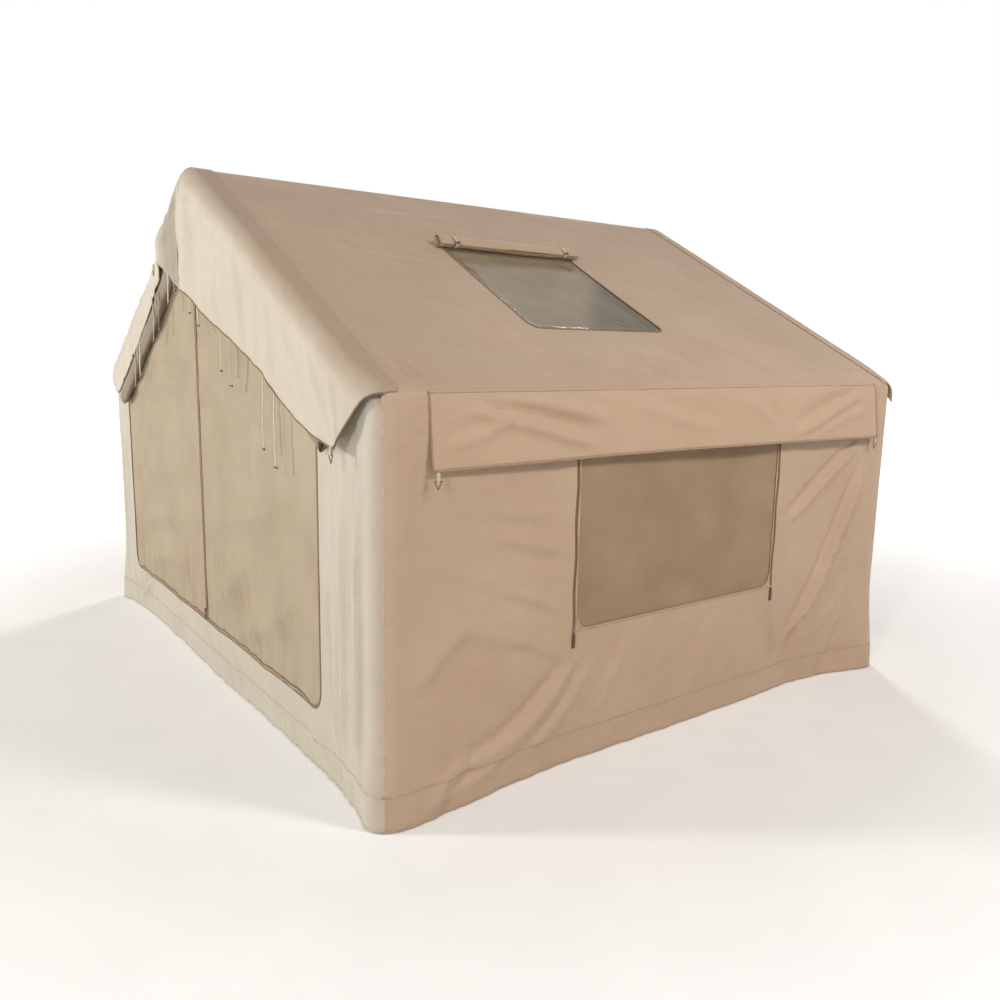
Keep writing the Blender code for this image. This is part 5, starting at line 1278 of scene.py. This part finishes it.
# ---------------------------------------------------------------- loops, hooks, sliders and valve
turn = np.linspace(0, 1, 41) * 2 * math.pi
for node in sorted(frame["nodes"]):
    obj = frame["nodes"][node]
    if node.startswith(("flap_loop", "valance_loop")):
        low, high = (np.array(c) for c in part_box(node))
        middle = (low + high) / 2
        out = np.array([1.0 if middle[0] > 0 else -1.0, 0, 0]) if node.startswith("flap") else np.array(OUT)
        ring = np.outer(np.cos(turn) * ((high[2] - low[2]) / 2 - 0.001), (0, 0, 1))
        ring = ring + np.outer(np.sin(turn) * 0.0032, out)
        ups = ring / (np.linalg.norm(ring, axis=1)[:, None] + 1e-9)
        piece("elastic_" + node, [strip(middle + ring, ups, 0.0115, 0.0012)], LOOP, node, obj["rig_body"])
    elif "hook" in node or "slider" in node or "valve" in node:
        obj.data.materials.clear()
        obj.data.materials.append(PLASTIC if "valve" in node else METAL)


# ---------------------------------------------------------------- stage, lights and camera
def seen_straight(tree):
    """1 for rays from the camera, and for those that mirrors and clear film pass on."""
    ray = tree.nodes.new("ShaderNodeLightPath")
    value = ray.outputs["Is Camera Ray"]
    for kind in ("Is Glossy Ray", "Is Transmission Ray"):
        larger = tree.nodes.new("ShaderNodeMath")
        larger.operation = "MAXIMUM"
        tree.links.new(value, larger.inputs[0])
        tree.links.new(ray.outputs[kind], larger.inputs[1])
        value = larger.outputs[0]
    return value


n = Nodes("pale_floor")
place = n.add("TexCoord").outputs["Object"]
reach = n.add("VectorMath", {0: place}, operation="LENGTH").outputs["Value"]
n.shader.inputs["Emission Color"].default_value = (1, 1, 1, 1)
n.join(n.math("MULTIPLY", seen_straight(n.tree), n.ramp(reach, 2.6, 9.0, 0.10, 1.0)),
       n.shader.inputs["Emission Strength"])
pale = n.mix(n.ramp(n.noise(place, 3.0, 2.0), 0.3, 0.7), linear((240, 239, 237)), linear((244, 243, 241)))
bpy.ops.mesh.primitive_plane_add(size=60, location=(0, 0, -0.001))
floor = bpy.context.object
floor.name = "floor"
floor.data.materials.append(n.finish(pale, None, 0.85, specular=0.2))

world = bpy.data.worlds.new("studio")
bpy.context.scene.world = world
world.use_nodes = True
tree = world.node_tree
plain, white = tree.nodes["Background"], tree.nodes.new("ShaderNodeBackground")
for shade, colour, strength in ((plain, (1.0, 0.985, 0.965, 1), 0.28), (white, (1, 1, 1, 1), 1.0)):
    shade.inputs["Color"].default_value = colour
    shade.inputs["Strength"].default_value = strength
choose = tree.nodes.new("ShaderNodeMixShader")
for k, source in enumerate((seen_straight(tree), plain.outputs[0], white.outputs[0])):
    tree.links.new(source, choose.inputs[k])
tree.links.new(choose.outputs[0], tree.nodes["World Output"].inputs["Surface"])


def lamp(name, place, aim, size, power, colour):
    """A round area light that looks at a point."""
    data = bpy.data.lights.new(name, "AREA")
    data.shape, data.size, data.energy, data.color = "DISK", size, power, colour
    obj = bpy.data.objects.new(name, data)
    bpy.context.scene.collection.objects.link(obj)
    obj.location = place
    obj.rotation_euler = (Vector(aim) - Vector(place)).to_track_quat("-Z", "Y").to_euler()


lamp("key", (-4.6, -10.2, 4.8), (0.4, 0, 1.1), 1.5, 650, (1.0, 0.985, 0.955))
lamp("fill", (5.2, 1.4, 4.8), (1.75, 0.0, 0.9), 1.1, 128, (1.0, 0.965, 0.93))
lamp("side", (5.4, -7.8, 4.6), (1.75, 0.4, 0.9), 1.0, 215, (1.0, 0.98, 0.95))
lamp("back", (-6.0, 6.4, 4.6), (0, 0, 1.2), 2.2, 420, (1.0, 0.985, 0.96))

# The camera as solved from the photograph: where it stands, how it is turned and its lens.
yaw, pitch, roll = math.radians(143.81), math.radians(-9.95), math.radians(1.07)
ahead = Vector((math.cos(yaw) * math.cos(pitch), math.sin(yaw) * math.cos(pitch), math.sin(pitch)))
right = Vector((math.sin(yaw), -math.cos(yaw), 0))
up = right.cross(ahead)
right, up = right * math.cos(roll) + up * math.sin(roll), up * math.cos(roll) - right * math.sin(roll)
camera = bpy.data.objects.new("camera", bpy.data.cameras.new("camera"))
bpy.context.scene.collection.objects.link(camera)
camera.matrix_world = Matrix(((right.x, up.x, -ahead.x, 4.2233), (right.y, up.y, -ahead.y, -2.81276),
                              (right.z, up.z, -ahead.z, 1.66421), (0, 0, 0, 1)))
camera.data.lens, camera.data.sensor_width = 31.37, 36.0
camera.data.clip_start, camera.data.clip_end = 0.05, 100
bpy.context.scene.camera = camera
bpy.context.scene.view_settings.view_transform = "Standard"

bpy.context.view_layer.update()
